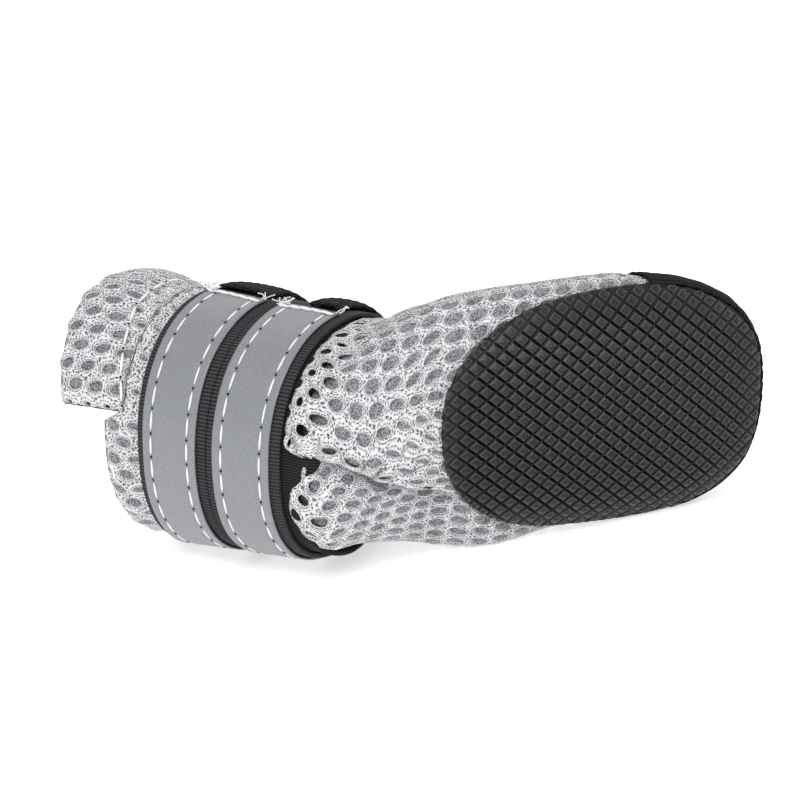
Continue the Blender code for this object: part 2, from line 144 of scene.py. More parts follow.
# %% Lay the floor and hang the lights
LIGHTS = (
    ("key_light", (-0.45, -0.65, 1.10), 0.7, 8.5),
    ("side_light", (0.95, -0.35, 0.55), 0.6, 1.5),
    ("back_light", (0.10, 0.95, 0.75), 0.8, 1.3),
)
LIGHTS_AIM = Vector((0, 0, 0.03))
FLOOR_HALF_SIZE = 12.0
WORLD_STRENGTH = 0.75
FLOOR_GLOW = 0.55

for name, place, size, energy in LIGHTS:
    lamp = bpy.data.lights.new(name, "AREA")
    lamp.size = size
    lamp.energy = energy
    light = put_in_scene(name, lamp)
    light.location = place
    light.rotation_euler = (LIGHTS_AIM - Vector(place)).to_track_quat("-Z", "Y").to_euler()

floor_work = bmesh.new()
bmesh.ops.create_grid(floor_work, x_segments=2, y_segments=2, size=FLOOR_HALF_SIZE)
floor_mesh = bpy.data.meshes.new("floor")
floor_work.to_mesh(floor_mesh)
floor_work.free()
floor = put_in_scene("floor", floor_mesh)

world = bpy.data.worlds.new("studio")
world.use_nodes = True
world.node_tree.nodes["Background"].inputs["Color"].default_value = (1.0, 1.0, 1.0, 1)
world.node_tree.nodes["Background"].inputs["Strength"].default_value = WORLD_STRENGTH
bpy.context.scene.world = world
bpy.context.scene.view_settings.view_transform = "Standard"
print(len(LIGHTS), "soft lights over a pale floor")

# %% [markdown]
# ## Shader sums
# Math nodes made one at a time are hard to read. So one small class wraps a socket, and a sum on
# it in Python adds the Math nodes. A second class holds a material and makes every other node.

# %% Write shader sums as expressions
class Wire:
    """An output socket of a finish, which can be used in sums."""

    def __init__(self, finish, socket):
        self.finish = finish
        self.socket = socket

    def sum(self, operation, *values):
        return self.finish.node("Math", {"operation": operation}, dict(enumerate(values)))

    def __add__(self, other):
        return self.sum("ADD", self, other)

    def __sub__(self, other):
        return self.sum("SUBTRACT", self, other)

    def __rsub__(self, other):
        return self.sum("SUBTRACT", other, self)

    def __mul__(self, other):
        return self.sum("MULTIPLY", self, other)

    __radd__ = __add__
    __rmul__ = __mul__

    def wave(self):
        """A sine wave from 0 to 1, once for each whole number of this value."""
        return self.sum("SINE", self * (2 * np.pi)) * 0.5 + 0.5

    def between(self, low, high):
        """0 under low and 1 over high, with a soft step."""
        sockets = {"Value": self, "From Min": low, "From Max": high}
        return self.finish.node("MapRange", {"interpolation_type": "SMOOTHSTEP"}, sockets)


class Finish:
    """One material and its nodes."""

    def __init__(self, name, colour, roughness, **constants):
        self.material = bpy.data.materials.new(name)
        self.material.use_nodes = True
        self.material.diffuse_color = (*colour, 1)
        self.tree = self.material.node_tree
        self.shader = self.tree.nodes["Principled BSDF"]
        self.shader.inputs["Base Color"].default_value = (*colour, 1)
        self.shader.inputs["Roughness"].default_value = roughness
        for socket, value in constants.items():
            self.shader.inputs[socket.replace("_", " ")].default_value = value

    def feed(self, socket, value):
        if isinstance(value, Wire):
            self.tree.links.new(value.socket, socket)
        elif isinstance(value, tuple) and socket.type == "RGBA":
            socket.default_value = (*value, 1)
        else:
            socket.default_value = value

    def node(self, kind, settings=None, sockets=None, out=0):
        made = self.tree.nodes.new("ShaderNode" + kind)
        for name, value in (settings or {}).items():
            setattr(made, name, value)
        for name, value in (sockets or {}).items():
            self.feed(made.inputs[name], value)
        return Wire(self, made.outputs[out])

    def place(self):
        """The surface's own place on the object, in millimetres."""
        spot = self.node("TexCoord", out="Object")
        return self.node("Mapping", None, {"Vector": spot, "Scale": (1 / MM, 1 / MM, 1 / MM)})

    def uv(self):
        """The piece's own UV map as two wires, along and around."""
        spot = self.node("UVMap", {"uv_map": "UVMap"})
        return [self.node("SeparateXYZ", None, {0: spot}, out=axis) for axis in "XY"]

    def noise(self, size, detail=2.0):
        """Soft random values about 0.5, in blots of this size in millimetres."""
        sockets = {"Vector": self.place(), "Scale": 1.0 / size, "Detail": detail}
        return self.node("TexNoise", None, sockets)

    def cells(self, size):
        """Distance from the nearest of many scattered points, for grain and knit."""
        sockets = {"Vector": self.place(), "Scale": 1.0 / size}
        return self.node("TexVoronoi", {"feature": "F1"}, sockets)

    def mixed(self, share, first, second):
        return self.node("Mix", {"data_type": "RGBA"}, {0: share, 6: first, 7: second}, out=2)

    def paint(self, share, first, second, height=None, depth=0.1, roughness=None):
        """Mixes two colours by the share. Depth is the bump's height in millimetres."""
        self.feed(self.shader.inputs["Base Color"], self.mixed(share, first, second))
        if roughness is not None:
            self.feed(self.shader.inputs["Roughness"], roughness)
        if height is not None:
            bump = self.node("Bump", None, {"Height": height, "Distance": depth * MM})
            self.feed(self.shader.inputs["Normal"], bump)


glow = {"Emission_Color": (1, 1, 1, 1), "Emission_Strength": FLOOR_GLOW}
pale_floor = Finish("pale_floor", (0.95, 0.95, 0.95), 0.9, **glow)
pale_floor.paint(pale_floor.noise(40.0), (0.945, 0.945, 0.945), (0.955, 0.955, 0.955))
floor_mesh.materials.append(pale_floor.material)
print("the floor's finish has", len(pale_floor.tree.nodes), "nodes")

# %% [markdown]
# ## The sock's form
# The sock is a slack tube that leans back above the ankle. It could be sculpted, but every other
# piece has to follow it closely. So it is written as rounded sections, upright along the foot and
# leaning up the shaft, and a soft curve through them gives the surface at any distance and turn.

# %% Set out the sections
GAP = 0.3
CAP_THICKNESS = 0.8
FOOT_TIP = 47.0
SHAFT_FOOT = (-58.3, 25.6)
SHAFT_LEAN = np.radians(49.8)
SHAFT_OVERLAP = 4.5
LAYERS = 3.9
CAP_SEAM = 13.0
CAP_ROWS = (46.95, 46.2, 44.6, 42.0, 38.0, 33.0, 27.0, 20.0, CAP_SEAM, 7.0, 0.0, -7.0)
ANKLE_ROWS = (
    # top x and z, under x and z, half width, widest place, low and high power, shift, worn over
    (-14.0, 41.0, -14.0, 2.9, 32.2, 0.26, 1.8, 1.75, 0.5, 0.0),
    (-22.0, 41.2, -30.0, 3.5, 32.6, 0.24, 2.2, 1.85, 1.4, 0.0),
    (-26.6, 41.2, -44.5, 6.4, 30.8, 0.28, 2.5, 1.9, 1.8, 0.0),
    (-27.6, 41.2, -50.0, 4.4, 29.6, 0.33, 2.5, 1.9, 1.6, 0.0),
    (-29.5, 41.2, -60.0, 1.6, 28.6, 0.40, 2.3, 1.9, 1.6, 0.0),
    (-30.3, 41.2, -70.5, -0.6, 27.9, 0.47, 2.3, 1.9, 3.0, 0.4),
    (-30.6, 41.2, -77.2, -0.8, 27.2, 0.50, 2.3, 1.9, 4.6, 2.0),
)
SHAFT_ROWS = (
    # along the shaft, half width, half depth, worn over
    (-4.5, 26.7, 30.8, LAYERS),
    (2.0, 26.7, 30.8, LAYERS),
    (12.0, 27.2, 30.5, LAYERS),
    (26.0, 28.1, 29.8, LAYERS),
    (38.0, 29.0, 28.9, LAYERS),
    (42.0, 29.3, 28.7, LAYERS),
    (45.5, 30.4, 29.6, 1.0),
    (53.0, 31.0, 30.0, 0.0),
    (75.0, 31.0, 30.0, 0.0),
)


def rounded(value, power):
    return max(0.0, 1 - abs(value) ** power) ** (1 / power)


def foot_row(x):
    """One upright section of the foot, drawn in a little under the toe cap."""
    to_tip = x / FOOT_TIP
    widest_z = 13.5 + 4.0 * max(0.0, to_tip) ** 2
    top = widest_z + 27.0 * rounded(to_tip, 1.6) if x >= 0 else 40.5 - 0.05 * x
    under = widest_z - 10.7 * rounded(to_tip, 5.0)
    cap = CAP_THICKNESS + GAP if x >= CAP_SEAM else 0.0
    half_width = max(32.0 * rounded(to_tip, 2.5) - cap, 0.5)
    top -= min(cap, (top - widest_z) / 2)
    widest = (widest_z - under) / (top - under)
    return (x, top, x, under, half_width, widest, 1.6, 1.7, 0.0, cap)


def shaft_row(along, half_width, half_depth, worn_over):
    """One section square to the leaning shaft."""
    x = SHAFT_FOOT[0] - np.cos(SHAFT_LEAN) * along
    z = SHAFT_FOOT[1] + np.sin(SHAFT_LEAN) * along
    dx, dz = np.sin(SHAFT_LEAN) * half_depth, np.cos(SHAFT_LEAN) * half_depth
    shift = 4.6 + 0.03 * along
    return (x + dx, z + dz, x - dx, z - dz, half_width, 0.48, 2.3, 1.9, shift, worn_over)


rows = [foot_row(x) for x in CAP_ROWS] + list(ANKLE_ROWS)
rows = np.array(rows + [shaft_row(*row) for row in SHAFT_ROWS])
middles = (rows[:, 0:2] + rows[:, 2:4]) / 2


def travelled(points):
    """Distance from the first point to each point, along the line through them."""
    steps = np.linalg.norm(np.diff(points, axis=0), axis=-1)
    return np.concatenate([np.zeros_like(steps[:1]), np.cumsum(steps, axis=0)])


distances = travelled(middles)
slopes = np.gradient(rows, distances, axis=0)
SHAFT_START = distances[len(CAP_ROWS) + len(ANKLE_ROWS)] + SHAFT_OVERLAP
CAP_EDGE = distances[CAP_ROWS.index(CAP_SEAM)]
print("sections:", len(rows), "shaft starts", round(SHAFT_START, 1), "mm along")

# %% [markdown]
# Reading the curve for every point of a net would be slow, so the form is traced once, as a grid of
# points half a millimetre apart. The sole pushes the cloth up and the floor presses its side flat.

# %% Trace the form as a fine grid
TURNS = 720
STEP = 0.5
FLOOR_SOFTNESS = 1.2


def soft_step(value, low, high):
    t = np.clip((value - low) / (high - low), 0, 1)
    return t * t * (3 - 2 * t)


def hump(value, middle, width):
    return np.exp(-(((value - middle) / width) ** 2))


def section_at(along):
    """The section at a distance along, on a soft curve through the rows."""
    i = int(np.clip(np.searchsorted(distances, along) - 1, 0, len(distances) - 2))
    span = distances[i + 1] - distances[i]
    t = np.clip((along - distances[i]) / span, 0, 1)
    start = (1 + 2 * t) * (1 - t) ** 2 * rows[i] + t * (1 - t) ** 2 * span * slopes[i]
    return start + t * t * (3 - 2 * t) * rows[i + 1] - t * t * (1 - t) * span * slopes[i + 1]


def plan_ratio(x, y):
    """How far out a point lies in plan, from 0 in the middle to 1 on the sole's outline."""
    wide = SOLE_HALF_WIDTH * (1 + SOLE_TOE_WIDENING * x / SOLE_HALF_LENGTH)
    powers = np.abs(x / SOLE_HALF_LENGTH) ** SOLE_SQUARENESS + np.abs(y / wide) ** SOLE_SQUARENESS
    return powers ** (1 / SOLE_SQUARENESS)


def sole_top(x, y):
    """Height of the sole's upper face, which thins from 2.2 mm to 1.2 mm at the rim."""
    return dome_height(x, y) + 2.2 - np.minimum(plan_ratio(x, y), 1.0) ** 2


def seated(points):
    """Heights of the sock's underside where it sits on the sole."""
    x, y, z = points.T
    ratio = plan_ratio(x, y)
    slope = SIDE_RISE * SIDE_POWER / SOLE_HALF_WIDTH * ratio ** (SIDE_POWER - 1)
    seat = sole_top(x, y) + GAP * np.hypot(1, slope) + 0.15
    share = soft_step(-ratio, -1.06, -1.0)
    return share * seat + (1 - share) * z


def pressed_flat(points, worn_over):
    """Presses what would go through the floor against it, with a soft edge."""
    over = floor_height(points) - floor_level + worn_over
    eased = -((FLOOR_SOFTNESS - over) ** 2) / (4 * FLOOR_SOFTNESS)
    eased = np.where(over > FLOOR_SOFTNESS, 0.0, eased)
    points[:, 1] += np.where(over < -FLOOR_SOFTNESS, over, eased) - over
    return points


def ring_at(along):
    """One ring of points, where turn 0 is underneath, 0.25 on the right and 0.5 on top."""
    section = section_at(along)
    top = np.array([section[0], 0.0, section[1]])
    under = np.array([section[2], 0.0, section[3]])
    half_width, widest, low_power, high_power, shift, worn_over = section[4:]
    widest = under + widest * (top - under)
    angles = np.linspace(0, 2 * np.pi, 361)
    down = np.cos(angles)
    low = down > 0
    power = np.where(low, low_power, high_power)
    height = np.where(low, 1.0, -1.0) * np.abs(down) ** (2 / power)
    side = -np.sign(np.sin(angles)) * np.abs(np.sin(angles)) ** (2 / power)
    points = widest + height[:, None] * np.where(low[:, None], under - widest, widest - top)
    points[:, 1] = half_width * side + shift
    points[low, 2] = seated(points[low])
    points = pressed_flat(points, worn_over)
    length = travelled(points)
    wanted = np.arange(TURNS) / TURNS * length[-1]
    return np.stack([np.interp(wanted, length, points[:, k]) for k in range(3)], axis=1)


def read_grid(grid, row, turn):
    """Values of a grid between its points, at these rows and turns."""
    row = np.clip(row, 0, len(grid) - 1.001)
    column = (np.asarray(turn, float) % 1.0) * TURNS
    i, j = row.astype(int), column.astype(int)
    a, b = row - i, column - j
    if grid.ndim > 2:
        a, b = a[..., None], b[..., None]
    j, k = j % TURNS, (j + 1) % TURNS
    first = grid[i, j] * (1 - b) + grid[i, k] * b
    second = grid[i + 1, j] * (1 - b) + grid[i + 1, k] * b
    return first * (1 - a) + second * a


class Form:
    """A grid of points over distance and turn, read at any place and lifted along its normal."""

    def __init__(self, points):
        self.points = points
        around = np.roll(points, -1, 1) - np.roll(points, 1, 1)
        normals = np.cross(around, np.gradient(points, axis=0))
        self.normals = normals / np.linalg.norm(normals, axis=2, keepdims=True)

    def normal(self, along, turn):
        return read_grid(self.normals, np.asarray(along, float) / STEP, turn)

    def at(self, along, turn, raised=0.0):
        spot = read_grid(self.points, np.asarray(along, float) / STEP, turn)
        return spot + np.asarray(raised, float)[..., None] * self.normal(along, turn)


ALONGS = np.arange(0, SHAFT_START + 74, STEP)
smooth_form = Form(np.array([ring_at(along) for along in ALONGS]))
print("form grid", smooth_form.points.shape)

# %% [markdown]
# ## Slack folds placed one by one
# One large fold shapes the heel: the cloth above laps over the cloth below, from the strap to the
# sole's heel end. Gathers run out of the heel, and pleats climb over the elastic. A simulation
# would fold somewhere else, so each fold is a height in millimetres over distance and turn.

# %% Fold the cloth
GIRTH = 191.4
FOLD_LINE = np.array([
    # millimetres out from the strap, and turn
    (8.0, 0.050), (1.8, 0.050), (-2.2, 0.047), (-6.2, 0.040), (-9.2, 0.027), (-12.2, 0.003),
    (-15.2, -0.022), (-20.2, -0.046), (-24.2, -0.063), (-28.0, -0.078), (-33.0, -0.095),
])
FOLD_SLANT = 0.8
LAP_HEIGHT, LAP_SLIDE, LAP_DIP = 3.0, 3.4, 1.6
HEEL_SWELL, HEEL_HOLLOW, GATHER_HEIGHT = 0.9, 2.4, 0.42
PLEAT_HEIGHT, CLIMB, TUCK_HEIGHT = 0.55, 1.9, 1.45
COLLAR_PLEAT, COLLAR_ROLL = 0.7, 2.2
LINING_LAP = 0.45
FLOOR_GAP = 0.25


def signed_turn(turn):
    return (np.asarray(turn) + 0.5) % 1.0 - 0.5


def over_fold(out, turn):
    """Millimetres from the fold's edge, above it on the lapping cloth and below it on the other."""
    line = np.interp(out, FOLD_LINE[::-1, 0], FOLD_LINE[::-1, 1])
    return (signed_turn(turn) - line) * GIRTH * FOLD_SLANT


def ripple(pitch, start=0.0):
    """A wave around the boot, one for each pitch in millimetres."""
    return np.sin(2 * np.pi * around / pitch + start)


out_grid, turn_grid = np.meshgrid(ALONGS - SHAFT_START, np.arange(TURNS) / TURNS, indexing="ij")
side = signed_turn(turn_grid)
around = side * GIRTH
past_fold = over_fold(out_grid, turn_grid)
strength = soft_step(out_grid, -36, -20) * soft_step(-out_grid, -14, -6)
lap = np.where(past_fold > 0, np.exp(-np.maximum(past_fold, 0) / 9), 0)
lap *= soft_step(past_fold, -0.3, 1.4)
heights = LAP_HEIGHT * strength * lap
heights -= LAP_DIP * strength * hump(past_fold, -1.9, 2.2) * soft_step(-out_grid, 5, 10)
heights += HEEL_SWELL * hump(out_grid, -9, 7) * hump(side, -0.08, 0.06)
heights -= HEEL_HOLLOW * hump(out_grid, -7, 6) * hump(side, -0.185, 0.05)
gathered = soft_step(-out_grid, 13, 23) * soft_step(out_grid, -40, -30) * hump(side, 0.0, 0.065)
heights += GATHER_HEIGHT * gathered * ripple(2.9)

off_floor = 1 - hump(side, -0.2, 0.11)
pleats = 0.55 * ripple(8.3, 0.6) + 0.35 * ripple(5.1, 1.9)
heights += PLEAT_HEIGHT * pleats * soft_step(out_grid, -22, -3) * off_floor
heights += CLIMB * soft_step(out_grid, -10, -4.6) * (0.1 + 0.9 * off_floor)
tuck = soft_step(out_grid, -2.4, -0.2)
heights = heights * (1 - tuck) + TUCK_HEIGHT * tuck
under_straps = soft_step(out_grid, -0.6, 0.4)
heights *= 1 - under_straps

in_collar = soft_step(out_grid, 41, 46)
collar_pleats = 0.55 * ripple(7.1) + 0.3 * ripple(4.3, 1.0)
roll = soft_step(out_grid, 49.5, 54)
heights += (0.25 + COLLAR_PLEAT * collar_pleats) * in_collar * (1 - roll) - COLLAR_ROLL * roll

slid = np.where(past_fold < 1.0, hump(past_fold, 1.0, 1.9), hump(past_fold, 1.0, 9.0))
lapped = -LAP_SLIDE * strength * slid * (1 - under_straps)
around_step = np.roll(smooth_form.points, -1, 1) - np.roll(smooth_form.points, 1, 1)
around_step /= np.linalg.norm(around_step, axis=2, keepdims=True)


def folded_with(share_lapped):
    """The folded form, with this share of the way that the upper cloth has slid over the lower."""
    points = smooth_form.points + heights[..., None] * smooth_form.normals
    points += share_lapped * lapped[..., None] * around_step
    points[..., 1] -= np.maximum(floor_height(points) - floor_level + FLOOR_GAP, 0)
    return Form(points)


folded_form = folded_with(1.0)
lining_form = folded_with(LINING_LAP)
print("folds reach from", heights.min().round(2), "to", heights.max().round(2), "mm")

# %% [markdown]
# Meshes keep their size, but the sections lie closer together under the heel than on top. So the
# net is laid out in millimetres of cloth from the strap, and this grid gives the form's distance.

# %% Measure distances over the cloth
travel = travelled(smooth_form.points)
from_strap = travel[int(round(SHAFT_START / STEP))] - travel
REACH = np.arange(-10, 140, STEP)
alongs = [np.interp(REACH, from_strap[::-1, k], ALONGS[::-1]) for k in range(TURNS)]
along_at_reach = np.array(alongs).T


def along_from_strap(reach, turn):
    """The form's distance at this many millimetres of cloth from the strap towards the toe."""
    return read_grid(along_at_reach, (np.asarray(reach) - REACH[0]) / STEP, turn)


to_cap = from_strap[int(CAP_EDGE / STEP), [0, TURNS // 2]]
print("cloth from strap to cap, under and over:", to_cap.round(1))

# %% [markdown]
# ## Helpers for bent pieces
# Most pieces are made flat, as they would be cut from cloth, with X along the boot and Y around it.
# Their flat places become the UV map, which keeps weaves and ribs straight on the cloth, and then
# every point is moved onto the form.

# %% Write the helpers
LAY = np.array(LIE_DOWN)
WELD_DISTANCE = 0.00001


def points_of(work):
    return np.array([vert.co for vert in work.verts], float).reshape(-1, 3)


def lay_points(work, boot_points):
    """Moves the work's points to places given in the boot's own millimetres."""
    for vert, point in zip(work.verts, boot_points @ LAY[:3, :3].T + LAY[:3, 3]):
        vert.co = point


def set_heights(work, height_of):
    for vert in work.verts:
        vert.co.z = height_of(vert.co.x, vert.co.y)


def verts_in(made):
    return [item for item in made["geom"] if isinstance(item, bmesh.types.BMVert)]


def open_edges(work):
    return [edge for edge in work.edges if edge.is_boundary]


def faces_within(work, chosen):
    """The faces whose points are all chosen."""
    return [face for face in work.faces if all(chosen[vert.index] for vert in face.verts)]


def uv_layer(work):
    """The UV map, by the name that the finishes read."""
    return work.loops.layers.uv.get("UVMap") or work.loops.layers.uv.new("UVMap")


def flat_strip(low, high, start, end, across, around):
    """A flat grid over these distances along and around, in this many faces each way."""
    work = bmesh.new()
    bmesh.ops.create_grid(work, x_segments=across, y_segments=around, size=0.5)
    stretch = Matrix.Diagonal((high - low, end - start, 1, 1))
    move = Matrix.Translation(((low + high) / 2, (start + end) / 2, 0))
    bmesh.ops.transform(work, matrix=move @ stretch, verts=work.verts)
    layer = uv_layer(work)
    for face in work.faces:
        for loop in face.loops:
            loop[layer].uv = loop.vert.co.xy
    return work


def merge(work):
    bmesh.ops.remove_doubles(work, verts=work.verts, dist=WELD_DISTANCE)


def turn_outwards(work):
    bmesh.ops.recalc_face_normals(work, faces=work.faces)


def add_piece(name, work, finish, smooth=True):
    """Makes the work an object of the boot."""
    mesh = bpy.data.meshes.new(name)
    work.to_mesh(mesh)
    work.free()
    if smooth:
        mesh.shade_smooth()
    mesh.materials.append(finish.material)
    piece = put_in_scene(name, mesh)
    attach(piece, "root")
    print(name, len(mesh.vertices), "points")
    return piece


def thicken(piece, thickness):
    """Gives an open sheet a wall, inwards from its face."""
    wall = piece.modifiers.new("wall", "SOLIDIFY")
    wall.thickness = thickness * MM
    wall.offset = -1.0
    wall.use_even_offset = False


print("lying down lifts the boot's origin", round(LAY[2, 3] / MM, 1), "mm")

# %% [markdown]
# ## Finishes
# Each finish mixes two shades by a pattern, which also makes the bump: yarns around a hole, ribs, a
# weave, beads or grain. Patterns that follow a piece read its UV map, and the others its place.

# %% Mix the finishes
net_yarn = Finish("net_mesh", (0.62, 0.63, 0.65), 0.85)
around_hole, out_of_hole = net_yarn.uv()
wobble = net_yarn.noise(1.6)
fuzz = net_yarn.noise(0.35)
strand = out_of_hole * 2.2 + wobble * 1.3
loops = (around_hole * 14.0 + strand * 0.5 + wobble * 2.0).wave()
yarn = strand.wave() * 0.74 + loops * 0.40 + fuzz * 0.8 - 0.42
net_yarn.paint(yarn.between(0.02, 0.48), (0.08, 0.082, 0.09), (0.80, 0.81, 0.83), yarn, 0.45)

backing = Finish("knitted_backing", (0.30, 0.31, 0.32), 0.95)
knit = backing.cells(0.42)
dark = (knit + backing.noise(1.4) * 0.4).between(0.3, 1.0)
backing.paint(dark, (0.38, 0.39, 0.41), (0.10, 0.10, 0.11), knit, -0.2)

rubber = Finish("sole_rubber", (0.024, 0.024, 0.026), 0.42, Specular_IOR_Level=0.30)
up_the_peak = rubber.uv()[0]
grain = rubber.noise(0.5, 4.0)
# Painted shade: the tread's valleys are painted black, where shade falls between the blocks.
valley_shade = rubber.mixed(up_the_peak.between(0.05, 0.34), (0.0, 0.0, 0.0), (0.010, 0.0105, 0.011))
# Painted highlight: a lighter band along the bevelled brim of each block.
brim = up_the_peak.between(0.26, 0.34) - up_the_peak.between(0.38, 0.46)
rubber.paint(brim, valley_shade, (0.055, 0.056, 0.06), grain, 0.03, roughness=grain * 0.2 + 0.28)

cap_cloth = Finish("woven_cap", (0.020, 0.020, 0.022), 0.95, Specular_IOR_Level=0.15)
weave_along, weave_around = cap_cloth.uv()
weave = (weave_along * 1.6).wave() * (weave_around * 1.6).wave()
cap_cloth.paint(weave, (0.006, 0.006, 0.007), (0.035, 0.035, 0.038), weave, 0.2)

ribbed = Finish("ribbed_elastic", (0.022, 0.022, 0.024), 0.8, Specular_IOR_Level=0.15)
ribs = (ribbed.uv()[1] * (1 / 0.68)).wave()
ribbed.paint(ribs, (0.004, 0.004, 0.005), (0.03, 0.03, 0.033), ribs, 0.25)

RIB_PITCH = 0.85
webbing = Finish("black_webbing", (0.030, 0.030, 0.034), 0.7, Specular_IOR_Level=0.15)
web_along, web_around = webbing.uv()
web_threads = (web_along * 2.6).wave()
# Painted highlight and shade: the rib crests are painted lighter and the hollows between them
# darker; a smaller share is the weave's threads.
rib_highlight_and_threads = (web_around * (1 / RIB_PITCH)).wave() * 0.7 + web_threads * 0.3
webbing.paint(rib_highlight_and_threads, (0.004, 0.004, 0.005), (0.07, 0.07, 0.076), web_threads, 0.06)

tape_finish = Finish("silver_tape", (0.38, 0.39, 0.41), 0.45)
beads = tape_finish.noise(0.3, 3.0)
silver = beads.between(0.3, 0.7)
tape_finish.paint(silver, (0.172, 0.18, 0.192), (0.237, 0.245, 0.258), beads, 0.02)

hooks = Finish("hook_and_loop", (0.012, 0.012, 0.013), 0.95, Specular_IOR_Level=0.15)
pile = hooks.cells(0.6)
hooks.paint(pile, (0.05, 0.05, 0.052), (0.002, 0.002, 0.002), pile, -0.5)

insole_cloth = Finish("insole_cloth", (0.25, 0.25, 0.26), 0.95)
nap = insole_cloth.cells(0.7)
insole_cloth.paint(nap, (0.33, 0.33, 0.34), (0.16, 0.16, 0.17), nap, -0.2)

white_thread = Finish("white_thread", (0.80, 0.80, 0.80), 0.7)
white_thread.paint(white_thread.noise(0.25), (0.62, 0.62, 0.64), (0.90, 0.90, 0.90))
needle_hole = Finish("needle_hole", (0.012, 0.012, 0.014), 0.9)
needle_hole.paint(needle_hole.noise(0.3), (0.004, 0.004, 0.005), (0.02, 0.02, 0.022))
print("finishes:", len(bpy.data.materials))

# %% [markdown]
# ## The sole
# The outsole is one moulded plate with low blocks in a slanting lattice. They could be arrayed, but
# here a grid of squares is turned, stretched and trimmed, and its rim is drawn onto the outline.
# Each square is inset and poked to a peak, and the brim of the inset is bevelled. The grid is bent
# to the dome, and a copy of it becomes the upper face.

# %% Mould the sole
TREAD_LONG = 4.66
TREAD_WIDE = 3.87
TREAD_DEPTH = 1.15
BLOCK_SIDE = 0.52
SIDE_SHARE = 0.35
BLOCK_HEIGHT = 0.5
RIDGE_BEVEL = 0.10
GRID_SIDE = 34
VALLEY_AT_RIM = 0.012
LEAST_THICKNESS = 0.35
TOP_MARK = 50.0


def tread_share(x, y):
    """How high the tread is, from 0 in its slanting valleys to 1 at the peaks."""
    first, second = x / TREAD_LONG + y / TREAD_WIDE, x / TREAD_LONG - y / TREAD_WIDE
    return 2 * np.minimum(np.abs(first - np.round(first)), np.abs(second - np.round(second)))


work = bmesh.new()
bmesh.ops.create_grid(work, x_segments=GRID_SIDE, y_segments=GRID_SIDE, size=GRID_SIDE // 2)
slant = Matrix.Diagonal((TREAD_LONG * 0.5 ** 0.5, TREAD_WIDE * 0.5 ** 0.5, 1, 1))
bmesh.ops.transform(work, matrix=slant @ Matrix.Rotation(np.pi / 4, 4, "Z"), verts=work.verts)
outside = []
for face in work.faces:
    ratios = sorted(plan_ratio(vert.co.x, vert.co.y) for vert in face.verts)
    if ratios[0] > 0.985 or ratios[1] > 1.06:
        outside.append(face)
bmesh.ops.delete(work, geom=outside, context="FACES")
for _ in range(2):
    corners = [face for face in work.faces if sum(edge.is_boundary for edge in face.edges) > 2]
    bmesh.ops.delete(work, geom=corners, context="FACES")
bmesh.ops.subdivide_edges(work, edges=open_edges(work), cuts=1)
for vert in {vert for edge in open_edges(work) for vert in edge.verts}:
    for _ in range(3):
        vert.co.xy /= plan_ratio(vert.co.x, vert.co.y)
    vert.co.xy *= 1 - VALLEY_AT_RIM * (1 - tread_share(vert.co.x, vert.co.y))

squares = list(work.faces)
for vert in verts_in(bmesh.ops.duplicate(work, geom=squares)):
    vert.co.z = TOP_MARK
bmesh.ops.inset_individual(work, faces=squares, thickness=BLOCK_SIDE)
brims = list({edge for face in squares for edge in face.edges})
bmesh.ops.poke(work, faces=squares)
bevel = {"offset": RIDGE_BEVEL, "segments": 1, "profile": 0.5, "affect": "EDGES", "material": -1}
bmesh.ops.bevel(work, geom=brims, **bevel)
bmesh.ops.bridge_loops(work, edges=open_edges(work))

points = points_of(work)
x, y, z = points.T
inside = 1 - plan_ratio(x, y)
share = tread_share(x, y) * soft_step(inside, -0.02, 0.025)
block = BLOCK_HEIGHT * np.minimum(share / SIDE_SHARE, 1)
block += (1 - BLOCK_HEIGHT) * np.maximum(share - SIDE_SHARE, 0) / (1 - SIDE_SHARE)
sunk = TREAD_DEPTH * (0.35 + 0.65 * soft_step(inside, 0.0, 0.08)) * (1 - block)
low = np.minimum(dome_height(x, y) + sunk, sole_top(x, y) - LEAST_THICKNESS)
points[:, 2] = np.where(z > TOP_MARK / 2, sole_top(x, y), low)
# The UV map carries each point's height share, which places the rubber's painted valley shade and
# painted brim highlight.
layer = uv_layer(work)
for face in work.faces:
    for loop in face.loops:
        loop[layer].uv = (share[loop.vert.index], 0.0)
lay_points(work, points)
turn_outwards(work)
sole = add_piece("rubber_sole", work, rubber, smooth=False)
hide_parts("outsole")
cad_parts["insole"].data.materials.clear()
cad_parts["insole"].data.materials.append(insole_cloth.material)

# %% [markdown]
# ## The lining
# A knitted lining shows through the net's holes. It has to follow the folds a little deeper than
# the net. So it is a sheet of its own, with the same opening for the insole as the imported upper.

# %% Sew the lining
LINING_START = 0.4
LINING_DEPTH, SHALLOW_DEPTH = 1.25, 0.35
LINING_THICKNESS = 0.7
FOOT_HOLE_INSET = 5.5
COLLAR_END = 53.0
FLAP_TURNS = (0.045, 0.46)
FLAP_SEAM = 45.0


def collar_edge(turn):
    """How far along the shaft the cloth ends: past the straps, or under the flap."""
    turn = (np.asarray(turn) + 0.25) % 1 - 0.25
    into_flap = np.minimum(turn - FLAP_TURNS[0], FLAP_TURNS[1] - turn)
    share = np.clip((into_flap + 0.004) / 0.018 + 1, 0, 1)
    return COLLAR_END + (FLAP_SEAM - 2 * GAP - COLLAR_END) * share


def in_foot_hole(points):
    """Whether points lie over the opening for the insole."""
    x, y, z = points.T
    length = SOLE_HALF_LENGTH - FOOT_HOLE_INSET
    width = (SOLE_HALF_WIDTH - FOOT_HOLE_INSET) * (1 + SOLE_TOE_WIDENING * x / SOLE_HALF_LENGTH)
    powers = np.abs(x / length) ** SOLE_SQUARENESS + np.abs(y / width) ** SOLE_SQUARENESS
    return (powers < 1) & (z < 12)


